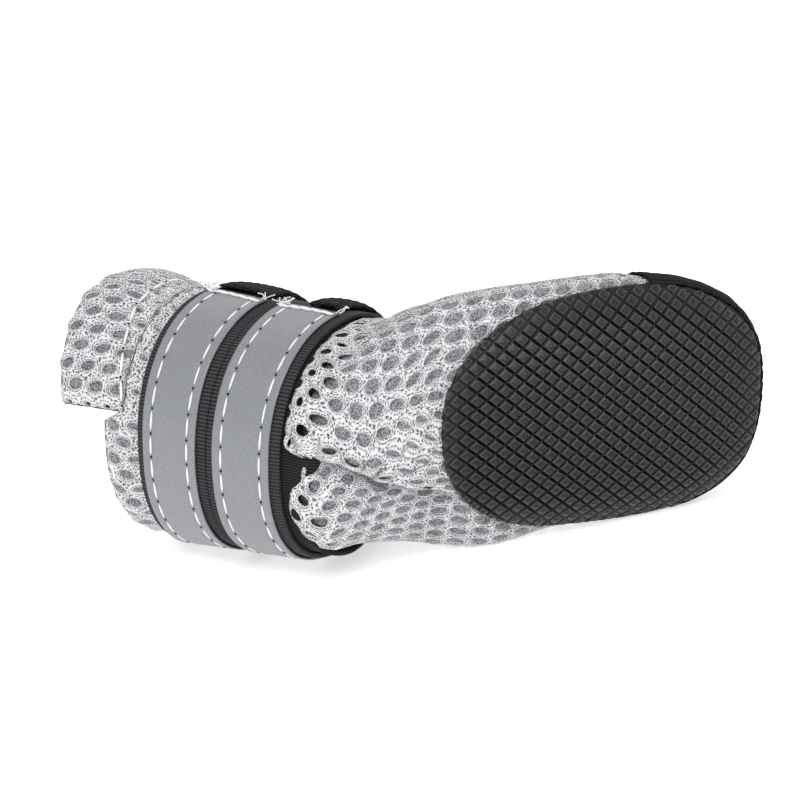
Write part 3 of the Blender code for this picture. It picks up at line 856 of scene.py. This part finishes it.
work = flat_strip(0.0, 1.0, -0.5, 0.5, 120, 260)
flat = points_of(work)
turn = flat[:, 1]
end = SHAFT_START + collar_edge(turn) - 0.2
along = LINING_START + flat[:, 0] * (end - LINING_START)
out = along - SHAFT_START
shallow = soft_step(out, -4.5, -2.0) * (1 - soft_step(out, 38.5, 40.5))
depth = LINING_DEPTH * (1 - shallow) + SHALLOW_DEPTH * shallow
slack = lining_form.at(along, turn)
plain = smooth_form.at(along, turn)
normals = smooth_form.normal(along, turn)
inwards = ((slack - plain) * normals).sum(axis=1) < 0
held = np.where(inwards, soft_step(out, -3.5, 1.0), soft_step(out, -13.0, -5.0))
held = (held * (1 - soft_step(out, 40.5, 43.0)))[:, None]
work.verts.ensure_lookup_table()
over_insole = faces_within(work, in_foot_hole(plain))
lay_points(work, slack * (1 - held) + plain * held - depth[:, None] * normals)
bmesh.ops.delete(work, geom=over_insole, context="FACES")
merge(work)
turn_outwards(work)
lining = add_piece("lining", work, backing)
thicken(lining, LINING_THICKNESS)
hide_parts("upper")

# %% [markdown]
# ## The net
# The net has oval holes in staggered rows. A mask could show them, but real holes give the yarn its
# edge. Every mesh starts as a flat hexagon, and hexagons side by side make a honeycomb sheet. Three
# insets give each a rounded crown, a rim and a wall, and the middle is taken out.

# %% Knit a net from hexagons
HOLE_PITCH = 5.8
ROW_PITCH = 4.35
NET_ROWS = 44
CELL_SIZE = (HOLE_PITCH / 3 ** 0.5, ROW_PITCH / 1.5)
RINGS = (
    # share from the hexagon to the hole's edge, height, and share of the yarn's width
    (0.45, 0.14, 0.55),
    (1.0, -0.22, 0.0),
    (1.06, -1.1, -0.35),
)
HEM_DROP = -0.9
HEM_MARK = 1.4


def knit_net(cells, hole_shape):
    """A flat honeycomb net with a hole in every cell, mapped around each hole and out of it."""
    work = bmesh.new()
    for x, y in cells:
        place = Matrix.Translation((x, y, 0)) @ Matrix.Diagonal((*CELL_SIZE, 1, 1))
        bmesh.ops.create_circle(work, cap_ends=True, segments=6, radius=1, matrix=place)
    bmesh.ops.remove_doubles(work, verts=work.verts, dist=0.05)
    outs = work.verts.layers.float.new("out_of_hole")
    owner = work.faces.layers.int.new("owner")
    for vert in work.verts:
        vert[outs] = 1.0
        vert.co.z = -0.05
    meshes = list(work.faces)
    centres = [face.calc_center_median().xy for face in meshes]
    corners = [[vert.co.xy for vert in face.verts] for face in meshes]
    for index, face in enumerate(meshes):
        face[owner] = index
    for share, height, out in RINGS:
        bmesh.ops.inset_individual(work, faces=meshes, thickness=0.2)
        for face, centre, around_face in zip(meshes, centres, corners):
            half_long, half_wide, tilt = hole_shape(centre)
            for vert, corner in zip(face.verts, around_face):
                away = corner - centre
                angle = np.arctan2(away.y / CELL_SIZE[1], away.x / CELL_SIZE[0]) - tilt
                long, wide = half_long * np.cos(angle), half_wide * np.sin(angle)
                on_edge = Vector((
                    long * np.cos(tilt) - wide * np.sin(tilt),
                    long * np.sin(tilt) + wide * np.cos(tilt),
                ))
                spot = away.lerp(on_edge, share) if share <= 1 else on_edge * (2 - share)
                vert.co = (*(centre + spot), height)
                vert[outs] = out
    bmesh.ops.delete(work, geom=meshes, context="FACES_ONLY")
    border = [e for e in open_edges(work) if all(abs(v[outs] - 1.0) < 0.01 for v in e.verts)]
    for vert in verts_in(bmesh.ops.extrude_edge_only(work, edges=border)):
        vert.co.z = HEM_DROP
        vert[outs] = HEM_MARK
    layer = uv_layer(work)
    for face in work.faces:
        centre = centres[face[owner]]
        middle = face.calc_center_median().xy - centre
        facing = np.arctan2(middle.y, middle.x)
        for loop in face.loops:
            away = loop.vert.co.xy - centre
            bend = (np.arctan2(away.y, away.x) - facing + np.pi) % (2 * np.pi) - np.pi
            loop[layer].uv = ((facing + bend) / (2 * np.pi), loop.vert[outs])
    return work


def honeycomb(columns, rows, keep):
    """Centres of the net's cells over these columns and rows that the test keeps."""
    spots = [(column + 0.5 * (row % 2), row) for row in rows for column in columns]
    spots = [(x * HOLE_PITCH, y * ROW_PITCH) for x, y in spots]
    return [spot for spot in spots if keep(*spot)]


def add_net(name, work):
    """Makes a laid net an object of the boot, with its yarns rounded."""
    turn_outwards(work)
    piece = add_piece(name, work, net_yarn)
    rounder = piece.modifiers.new("rounder", "SUBSURF")
    rounder.levels = rounder.render_levels = 1
    return piece


print("one mesh of the net is", HOLE_PITCH, "mm by", ROW_PITCH, "mm")

# %% [markdown]
# The foot's net is cut in two along the fold. Its holes are long beside the fold and nearly closed
# at the gathered heel. The cut edges are drawn onto the fold's line, and their yarn with them.

# %% Net the foot
ROWS_RAISED = 7.5
ROWS_LOWERED = 14.5
LOWER_EDGE = (
    (-0.3, -0.2, -0.13, -0.05, -0.0325, -0.0064, 0.0073, 0.0233, 0.030, 0.036),
    (-2.5, -6.5, -2.2, -1.5, -1.8, -2.7, -3.0, -3.8, -5.5, -7.0),
)
FOLD_END = -17.0
HEM_AT = 0.2
CAP_CLEARANCE = 2.5
LONGEST_DRAW = 3.0


def slanted_turn(x, y):
    """The turn of a flat place. Underneath, the slack net's rows run down beside the fold."""
    moved = ROWS_RAISED - ROWS_LOWERED * soft_step(x, 0.0, 24.0)
    return (y + moved * hump(y / GIRTH, 0.03, 0.10)) / GIRTH


def foot_hole(centre):
    """Holes are drawn out and tilted beside the fold, and nearly closed at the sole's heel end."""
    turn = slanted_turn(*centre)
    out = along_from_strap(centre.x, turn) - SHAFT_START
    past = over_fold(out, turn)
    beside = hump(past, 3.0, 7.0) * soft_step(out, -34, -18)
    drawn = soft_step(-out, 13, 20) * hump(turn, -0.003, 0.068)
    upright = hump(out, -24, 4.5) * hump(turn, 0.118, 0.035)
    near_strap = soft_step(out, -9, -3)
    under = soft_step(-past, 0.5, 2.0) * hump(turn, 0.01, 0.05) * soft_step(out, -20, -11)
    half_long = (2.35 + 0.3 * beside + 0.45 * drawn) * (1 - 0.15 * near_strap)
    half_wide = 1.8 * (1 - 0.48 * beside) * (1 - 0.88 * drawn) * (1 - 0.25 * upright)
    half_wide *= 1 + 0.15 * beside * near_strap
    tilt = -0.15 * beside * (1 - drawn) - 0.5 * drawn + 1.0 * upright
    tilt += 0.85 * beside * soft_step(out, -14, -5) * (1 - under) + 1.0 * under
    return half_long, half_wide * (1 - 0.3 * under), tilt


def on_foot(x, y):
    """Whether a mesh of the net lies in the open between strap, sole and toe cap."""
    turn = slanted_turn(x, y)
    along = along_from_strap(x, turn)
    out = along - SHAFT_START
    past = over_fold(out, turn)
    spot = smooth_form.at(along, turn)
    beyond_edge = out > np.interp(signed_turn(turn), *LOWER_EDGE) - 1.2
    under_lap = out > FOLD_END and past > (-2.8 if out > -8 else -3.4)
    hidden = past < 1.0 and (beyond_edge or under_lap)
    on_sole = plan_ratio(spot[0], spot[1]) < 0.96 and spot[2] < 14
    return along >= CAP_EDGE - CAP_CLEARANCE and out <= 0.8 and not hidden and not on_sole


cells = honeycomb(range(-1, 24), range(-NET_ROWS // 2, NET_ROWS // 2), on_foot)
work = knit_net(cells, foot_hole)
flat = points_of(work)
turn = slanted_turn(flat[:, 0], flat[:, 1])
along = along_from_strap(flat[:, 0], turn)
out = along - SHAFT_START
past = over_fold(out, turn)
edge_out = np.interp(signed_turn(turn), *LOWER_EDGE)
outs = work.verts.layers.float["out_of_hole"]
hem = {vert for vert in work.verts if vert[outs] > (1 + HEM_MARK) / 2}
hem |= {edge.other_vert(vert) for vert in hem for edge in vert.link_edges}
on_hem = np.array([vert in hem for vert in work.verts])
at_fold = on_hem & (out > FOLD_END + 1)
split = np.where(out > -8, -0.5, -1.3)
upper_hem = (past > split) & (at_fold & (past < 4.5) | (past < HEM_AT) & (out > FOLD_END))
corner = np.interp(out, (-6.5, -3.0), (-1.6, -3.6))
lower_hem = (past > -5 - 1.5 * hump(out, -5, 3)) & (out < edge_out - 0.8)
lower_hem = at_fold & (past <= split) & (lower_hem | (past > corner))
goal = np.where(upper_hem, HEM_AT, np.where(lower_hem, corner, past))
turn = turn + (goal - past) / (FOLD_SLANT * GIRTH)
side_hem = on_hem & (goal < -4.5) & (goal > -16) & (out > edge_out - 2.2)
along = np.where(side_hem | (past < split) & (out > edge_out), SHAFT_START + edge_out, along)
drawn_out = np.minimum(np.abs(goal - past), LONGEST_DRAW)
layer = uv_layer(work)
work.verts.index_update()
for face in work.faces:
    for loop in face.loops:
        loop[layer].uv.y += drawn_out[loop.vert.index] / 1.2
lay_points(work, folded_form.at(along, turn, flat[:, 2]))
merge(work)
foot_net = add_net("foot_net", work)
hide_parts("upper")
print("meshes in the foot's net:", len(cells))

# %% [markdown]
# ## Elastic collar and straps
# A ribbed elastic band draws the cloth in at the ankle, and two webbing straps lie over it. They
# could be curves with a flat bevel, but wrapped strips keep their edges on the leaning shaft.

# %% Wrap the elastic and the webbing
ELASTIC_LIFT, ELASTIC_THICKNESS = 1.3, 1.0
WEBBING_LIFT, WEBBING_THICKNESS = 2.72, 1.1
RIB_HEIGHT = 0.10
WEBBING_WIDTH = 20.0
WEBBING_STARTS = {"ankle": 0.0, "collar": 20.5}


def wrap(name, strip, lift, thickness, finish):
    """Bends a flat strip around the shaft and gives it a wall under its face."""
    flat = points_of(strip)
    along, turn = SHAFT_START + flat[:, 0], flat[:, 1] / GIRTH
    lay_points(strip, smooth_form.at(along, turn, lift + flat[:, 2]))
    merge(strip)
    turn_outwards(strip)
    middle = Vector(points_of(strip).mean(axis=0))
    facing = sum(face.normal.dot(face.calc_center_median() - middle) for face in strip.faces)
    if facing < 0:
        bmesh.ops.reverse_faces(strip, faces=strip.faces)
    piece = add_piece(name, strip, finish)
    thicken(piece, thickness)
    return piece


def full_turn(low, high, across, around):
    return flat_strip(low, high, -GIRTH / 2, GIRTH / 2, across, around)


strip = full_turn(-4.5, 41.0, 24, 440)
for vert in strip.verts:
    near_edge = soft_step(-vert.co.x, -6, 4.5)
    gap_side = hump(vert.co.y / GIRTH, 0.02, 0.02)
    floor_side = hump(vert.co.y / GIRTH, -0.21, 0.06)
    vert.co.x -= (3.2 * gap_side + 0.8 * floor_side) * near_edge
elastic = wrap("elastic_collar", strip, ELASTIC_LIFT, ELASTIC_THICKNESS, ribbed)
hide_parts("elastic_band")

for place, start in WEBBING_STARTS.items():
    strip = full_turn(start, start + WEBBING_WIDTH, 8, 4 * int(GIRTH / RIB_PITCH))
    set_heights(strip, lambda x, y: RIB_HEIGHT * np.sin(2 * np.pi * y / RIB_PITCH))
    band = wrap("strap_" + place, strip, WEBBING_LIFT, WEBBING_THICKNESS, webbing)
    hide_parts("webbing_" + place)

# %% [markdown]
# Each tape is held by two rows of stitches, which pull it down a little. Most of the thread runs
# under the cloth, so every stitch is a stretched sphere between two needle holes. The loose threads
# at the cut ends are chains of shorter stitches.

# %% Sew the tapes
TAPE_LIFT, TAPE_THICKNESS = 3.6, 0.45
TAPE_WIDTH = 15.5
TAPE_TURNS = (-0.389, 0.25)
STITCH_PITCH, STITCH_LENGTH, STITCH_INSET = 5.8, 4.7, 2.4
HOLE_RADIUS = 0.36
END_SEAM = 2.6
FRAY_LIFT, FRAY_TOP, FRAY_RADIUS = 3.9, 5.0, 0.19
FRAY_STEP, FRAY_STEPS = 0.55, 6


def add_stitch(work, start, end, normal, radius):
    """A thread from start to end, in the boot's millimetres, lying on the surface."""
    start, end, normal = Vector(start), Vector(end), Vector(normal)
    run = (end - start).normalized()
    across = normal.cross(run).normalized()
    normal = run.cross(across)
    half = (end - start).length / 2
    shape = Matrix((run * half, across * radius, normal * radius * 0.8)).transposed().to_4x4()
    place = Matrix.Translation((start + end) / 2) @ shape @ Matrix.Rotation(np.pi / 2, 4, "Y")
    bmesh.ops.create_uvsphere(work, u_segments=6, v_segments=6, radius=1, matrix=place)


def add_needle_hole(work, spot, normal):
    turn = Vector(normal).to_track_quat("Z", "Y").to_matrix().to_4x4()
    shape = Matrix.Diagonal((HOLE_RADIUS, HOLE_RADIUS, HOLE_RADIUS * 0.35, 1))
    place = Matrix.Translation(Vector(spot)) @ turn @ shape
    bmesh.ops.create_uvsphere(work, u_segments=7, v_segments=4, radius=1, matrix=place)


def stitch_row(threads, holes, outs, turns, lift, radius, length=STITCH_LENGTH, spots=None):
    """A row of running stitches along a line on the form, or through the given spots."""
    alongs = SHAFT_START + outs
    spots = smooth_form.at(alongs, turns, lift) if spots is None else spots
    normals = smooth_form.normal(alongs, turns)
    for a, b, normal in zip(spots[:-1], spots[1:], normals):
        share = 0.5 * (1 - length / np.linalg.norm(b - a))
        add_stitch(threads, a + (b - a) * share, b - (b - a) * share, normal, radius)
    for spot, normal in zip(spots, normals):
        add_needle_hole(holes, spot - normal * 0.05, normal)


def add_loose_thread(threads, start, cut, spread):
    """A thread that wanders off over the cut end of a tape, in short steps."""
    out, around = start + frays.uniform(-1.2, 0.6), cut - 1.8
    heading, lift = frays.uniform(-1.0, 1.0) * spread, FRAY_LIFT
    spots = [smooth_form.at(SHAFT_START + out, around / GIRTH, lift)]
    for _ in range(FRAY_STEPS):
        heading += frays.uniform(-0.9, 0.9)
        out += FRAY_STEP * np.sin(heading)
        around += FRAY_STEP * np.cos(heading)
        lift = min(lift + frays.uniform(0.0, 0.35), FRAY_TOP)
        spots.append(smooth_form.at(SHAFT_START + out, around / GIRTH, lift))
    for a, b in zip(spots[:-1], spots[1:]):
        add_stitch(threads, a, b, (0.3, 0.2, 1.0), FRAY_RADIUS)


def add_sewing(stitches, holes):
    """Lays stitches and their needle holes on the boot, each given as a name and its work."""
    for (name, work), finish in ((stitches, white_thread), (holes, needle_hole)):
        lay_points(work, points_of(work))
        add_piece(name, work, finish)


def tape_height(x, y):
    pulled = sum(hump(x, seam, 0.7) for seam in seams)
    return -0.16 * pulled - 0.05 * np.sin(y * 0.31 + x * 0.2)


threads, holes = bmesh.new(), bmesh.new()
frays = np.random.default_rng(11)
begin, cut = TAPE_TURNS[0] * GIRTH, TAPE_TURNS[1] * GIRTH
for place, start in WEBBING_STARTS.items():
    low = start + (WEBBING_WIDTH - TAPE_WIDTH) / 2
    high = low + TAPE_WIDTH
    seams = (low + STITCH_INSET, high - STITCH_INSET)
    strip = flat_strip(low, high, begin, cut, 31, 250)
    set_heights(strip, tape_height)
    name = "tape_" + place + "_face"
    tape = wrap(name, strip, TAPE_LIFT, TAPE_THICKNESS, tape_finish)
    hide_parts("tape_" + place)
    count = int((cut - begin - 1.5) / STITCH_PITCH)
    marks = (cut - END_SEAM - STITCH_PITCH * np.arange(count)) / GIRTH
    for seam in seams:
        stitch_row(threads, holes, np.full(count, seam), marks, TAPE_LIFT, 0.32)
    cross = np.linspace(low + 0.3, high - 0.3, 6)
    ragged = (cut - END_SEAM + 0.45 * np.sin(cross * 2.4)) / GIRTH
    stitch_row(threads, holes, cross, ragged, 3.75, 0.45, length=3.6)
    stitch_row(threads, holes, cross + 1.1, ragged + 0.5 / GIRTH, 3.85, 0.34, length=2.9)
    for corner_at, spread, count in ((high, 1.3, 10), (low, 0.5, 3)):
        for _ in range(count):
            add_loose_thread(threads, corner_at, cut, spread)
add_sewing(("tape_stitches", threads), ("needle_holes", holes))

# %% [markdown]
# The free ends of the straps are hook-and-loop. Single hooks would be too fine to see, so two thick
# napped strips with a swell in the middle show them.

# %% Fold over the hook and loop
TAIL_LIFT, TAIL_THICKNESS = 4.25, 1.1
TAIL_START, TAIL_CUT = 0.264 * GIRTH, 0.403 * GIRTH
TAIL_ENDS = {"ankle": (3.0, 12.5), "collar": (23.2, 38.5)}
for place, (low, high) in TAIL_ENDS.items():
    strip = flat_strip(low, high, TAIL_START, TAIL_CUT, 30, 50)
    for vert in strip.verts:
        share = (vert.co.y - TAIL_START) / (TAIL_CUT - TAIL_START)
        beside = (2 * vert.co.x - low - high) / (high - low)
        swell = 0.5 * np.sin(np.pi * share) + 0.5 * (1 - beside ** 2) - 0.5 * beside ** 6
        rough = 0.12 * np.sin(vert.co.x * 2.9 + vert.co.y) * np.sin(vert.co.y * 2.3)
        vert.co.z = swell + rough
    tail = wrap("hook_end_" + place, strip, TAIL_LIFT, TAIL_THICKNESS, hooks)
    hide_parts("hook_tail_" + place)

# %% [markdown]
# ## Toe cap
# The toe is covered with black woven cloth, hemmed at its back edge, which goes down to the sole. A
# boolean would cut it there with a ragged edge. So the faces over the sole are taken out, and the
# points at their edge are drawn onto its outline.

# %% Cover the toe
CAP_LIFT = 1.0
CAP_WALL = 0.7
CAP_HEM = 0.25
AT_SOLE = 1.012

strip = flat_strip(0.2, CAP_EDGE, -GIRTH / 2, GIRTH / 2, 60, 300)
flat = points_of(strip)
along, turn = flat[:, 0], flat[:, 1] / GIRTH
hemmed = CAP_HEM * soft_step(along, CAP_EDGE - 3.2, CAP_EDGE - 2.8)
wavy = 0.08 * np.sin(turn * 2 * np.pi * 23) + 0.06 * np.sin(turn * 2 * np.pi * 41 + along)
placed = smooth_form.at(along, turn, CAP_LIFT + hemmed * 0.6 + wavy)
ratio = plan_ratio(placed[:, 0], placed[:, 1])
covered = (ratio < AT_SOLE) & (placed[:, 2] < 13.5)
placed[covered, :2] /= (ratio[covered] / AT_SOLE)[:, None]
strip.verts.ensure_lookup_table()
over_sole = faces_within(strip, covered)
lay_points(strip, placed)
tip_x = max(vert.co.x for vert in strip.verts)
bmesh.ops.delete(strip, geom=over_sole, context="FACES")
merge(strip)
loose = [vert for vert in strip.verts if not vert.link_faces]
bmesh.ops.delete(strip, geom=loose, context="VERTS")
tip = [edge for edge in open_edges(strip) if edge.verts[0].co.x > tip_x - 2.5 * MM]
bmesh.ops.holes_fill(strip, edges=tip, sides=0)
turn_outwards(strip)
cap = add_piece("toe_cover", strip, cap_cloth)
thicken(cap, CAP_WALL)
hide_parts("toe_cap")

# %% [markdown]
# ## Collar and flap
# Above the straps the net ends in a gathered collar, rolled in at its edge. It is knitted like the
# foot's net, with narrow holes beside the strap that close where the flap is sewn on.

# %% Gather the collar
COLLAR_NET_START = 41.1
SEAM_OVERLAP = 1.6
SEAM_RIDGE = 0.35


def on_collar(x, y):
    return COLLAR_NET_START - 1.5 < x < collar_edge(y / GIRTH) + SEAM_OVERLAP + 0.5


def collar_hole(centre):
    """Holes are gathered beside the strap and closed along the seam and the collar's edge."""
    if centre.x > collar_edge(centre.y / GIRTH) - 1.5:
        return 0.9, 0.5, 0.3
    return (1.7, 0.9, 0.3) if centre.x < 45 else (2.3, 1.6, 0.2)


cells = honeycomb(range(6, 11), range(-NET_ROWS // 2, NET_ROWS // 2), on_collar)
work = knit_net(cells, collar_hole)
flat = points_of(work)
turn = flat[:, 1] / GIRTH
end = np.minimum(collar_edge(turn) + SEAM_OVERLAP, COLLAR_END - 0.3)
seamed = soft_step(flat[:, 0], 43.0, 45.0) * (end < COLLAR_END - 1)
along = SHAFT_START + np.clip(flat[:, 0], COLLAR_NET_START, end)
lay_points(work, folded_form.at(along, turn, flat[:, 2] + SEAM_RIDGE * seamed))
merge(work)
collar_net = add_net("collar_net", work)
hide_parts("upper")

# %% [markdown]
# The flap is a doubled pad of the same net. It could be two sheets with a filling, but one closed
# core with the net wrapped over it shows no gap at the rim or the ends. Its stitched line drifts
# from the strap, and draws the pad in.

# %% Pad the flap
FLAP_END = 65.0
FLAP_LENGTH = 21.5
SEAM_SHIFTS = ((0.061, 0.133, 0.178, 0.26, 0.36, 0.46), (0.0, 2.8, 6.0, 6.6, 4.0, 0.0))
SEAM_DEPTH = 2.0
FLAP_NET_TURNS = (0.041, 0.464)
FLAP_NET_LIFT = 1.1
WRAP_START = 1.2
SEAM_PITCH, SEAM_STITCH, SEAM_LIFT = 6.4, 5.0, 2.4


def seam_shift(turn):
    """How far the flap's stitched line has drifted from the strap at this turn."""
    return np.interp(turn, *SEAM_SHIFTS)


def flap_spread(turn):
    """How far a turn lies along the flap, from 0 at one end to 1 at the other."""
    return np.clip((turn - FLAP_TURNS[0]) / (FLAP_TURNS[1] - FLAP_TURNS[0]), 0, 1)


def flap_tip(turn):
    spread = flap_spread(turn)
    bulge = 3.5 * np.sin(np.pi * spread) + 1.3 * hump(spread, 0.38, 0.2)
    return FLAP_END + bulge - 4.5 * soft_step(spread, 0.36, 0.68)


def flap_point(across, turn, raised):
    """A place on the flap. Across runs from 0 at the outer seam, over the top at 1, to 2 inside."""
    across = np.clip(across, 0.0, 2.0)
    share = np.where(across <= 1, across, 2 - across)
    side = np.where(across <= 1, 1.0, -1.0)
    spread = flap_spread(turn)
    ends = np.clip(np.minimum(spread, 1 - spread) * (FLAP_TURNS[1] - FLAP_TURNS[0]) / 0.03, 0, 1)
    plump = 0.35 + 0.65 * np.sqrt(1 - (1 - ends) ** 2)
    crown = np.sqrt(np.maximum(1 - (2 * share - 1) ** 4, 0))
    crown = np.where(share < 0.5, np.maximum(crown, 0.35), crown)
    middle = (0.44 * crown - 1.0 + 2.2 * share ** 2) * plump
    half = (2.75 * crown * plump - 1.1) * side
    reach = FLAP_SEAM + (flap_tip(turn) - FLAP_SEAM) * share
    shift = seam_shift(turn)
    drawn_in = SEAM_DEPTH * hump(reach - FLAP_SEAM, shift, 3.6) * soft_step(shift, 1.0, 5.0)
    reach = reach - 0.9 * soft_step(share, 0.7, 1.0)
    return smooth_form.at(SHAFT_START + reach, turn, middle + half + raised * side - drawn_in)


def in_flap_net(y, inset):
    return FLAP_NET_TURNS[0] + inset < y / GIRTH < FLAP_NET_TURNS[1] - inset


def on_flap(x, y):
    return -0.5 < x < 2 * FLAP_LENGTH + 0.5 and in_flap_net(y, 0.003)


def flap_hole(centre):
    """Holes are flatter low down, gathered before the stitches, and close at the flap's ends."""
    if not in_flap_net(centre.y, 0.012):
        return 0.9, 0.5, 0.0
    if centre.x < seam_shift(centre.y / GIRTH) + 0.3:
        return 1.7, 0.85, 0.35
    return 2.5, 1.8 - 0.5 * hump(centre.y, 20, 9), -0.25


work = knit_net(honeycomb(range(0, 9), range(0, 24), on_flap), flap_hole)
flat = points_of(work)
across = np.clip(flat[:, 0], WRAP_START, 2 * FLAP_LENGTH - WRAP_START)
turn = np.clip(flat[:, 1] / GIRTH, *FLAP_NET_TURNS)
beyond = np.abs(flat[:, 1] - turn * GIRTH)
raised = flat[:, 2] + FLAP_NET_LIFT - np.minimum(beyond * 0.7, 1.3)
lay_points(work, flap_point(across / FLAP_LENGTH, turn, raised))
flap_net = add_net("flap_net", work)
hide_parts("collar_flap")

work = flat_strip(0.0, 2.0, FLAP_TURNS[0] + 0.003, FLAP_TURNS[1] - 0.003, 48, 90)
flat = points_of(work)
rims = [edge for edge in work.edges if all(vert.co.x in (0.0, 2.0) for vert in edge.verts)]
bmesh.ops.bridge_loops(work, edges=rims)
lay_points(work, flap_point(flat[:, 0], flat[:, 1], 0.0))
bmesh.ops.holes_fill(work, edges=open_edges(work), sides=0)
turn_outwards(work)
flap_core = add_piece("flap_core", work, backing)
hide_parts("collar_flap")

threads, holes = bmesh.new(), bmesh.new()
marks = np.arange(FLAP_TURNS[0] * GIRTH + 1, FLAP_TURNS[1] * GIRTH, SEAM_PITCH)
turns = marks / GIRTH
ragged = seam_shift(turns) + 0.9 + 0.25 * np.sin(marks)
spots = flap_point(ragged / (flap_tip(turns) - FLAP_SEAM), turns, SEAM_LIFT)
stitch_row(threads, holes, FLAP_SEAM + ragged, turns, 0.0, 0.42, length=SEAM_STITCH, spots=spots)
add_sewing(("seam_stitches", threads), ("seam_holes", holes))
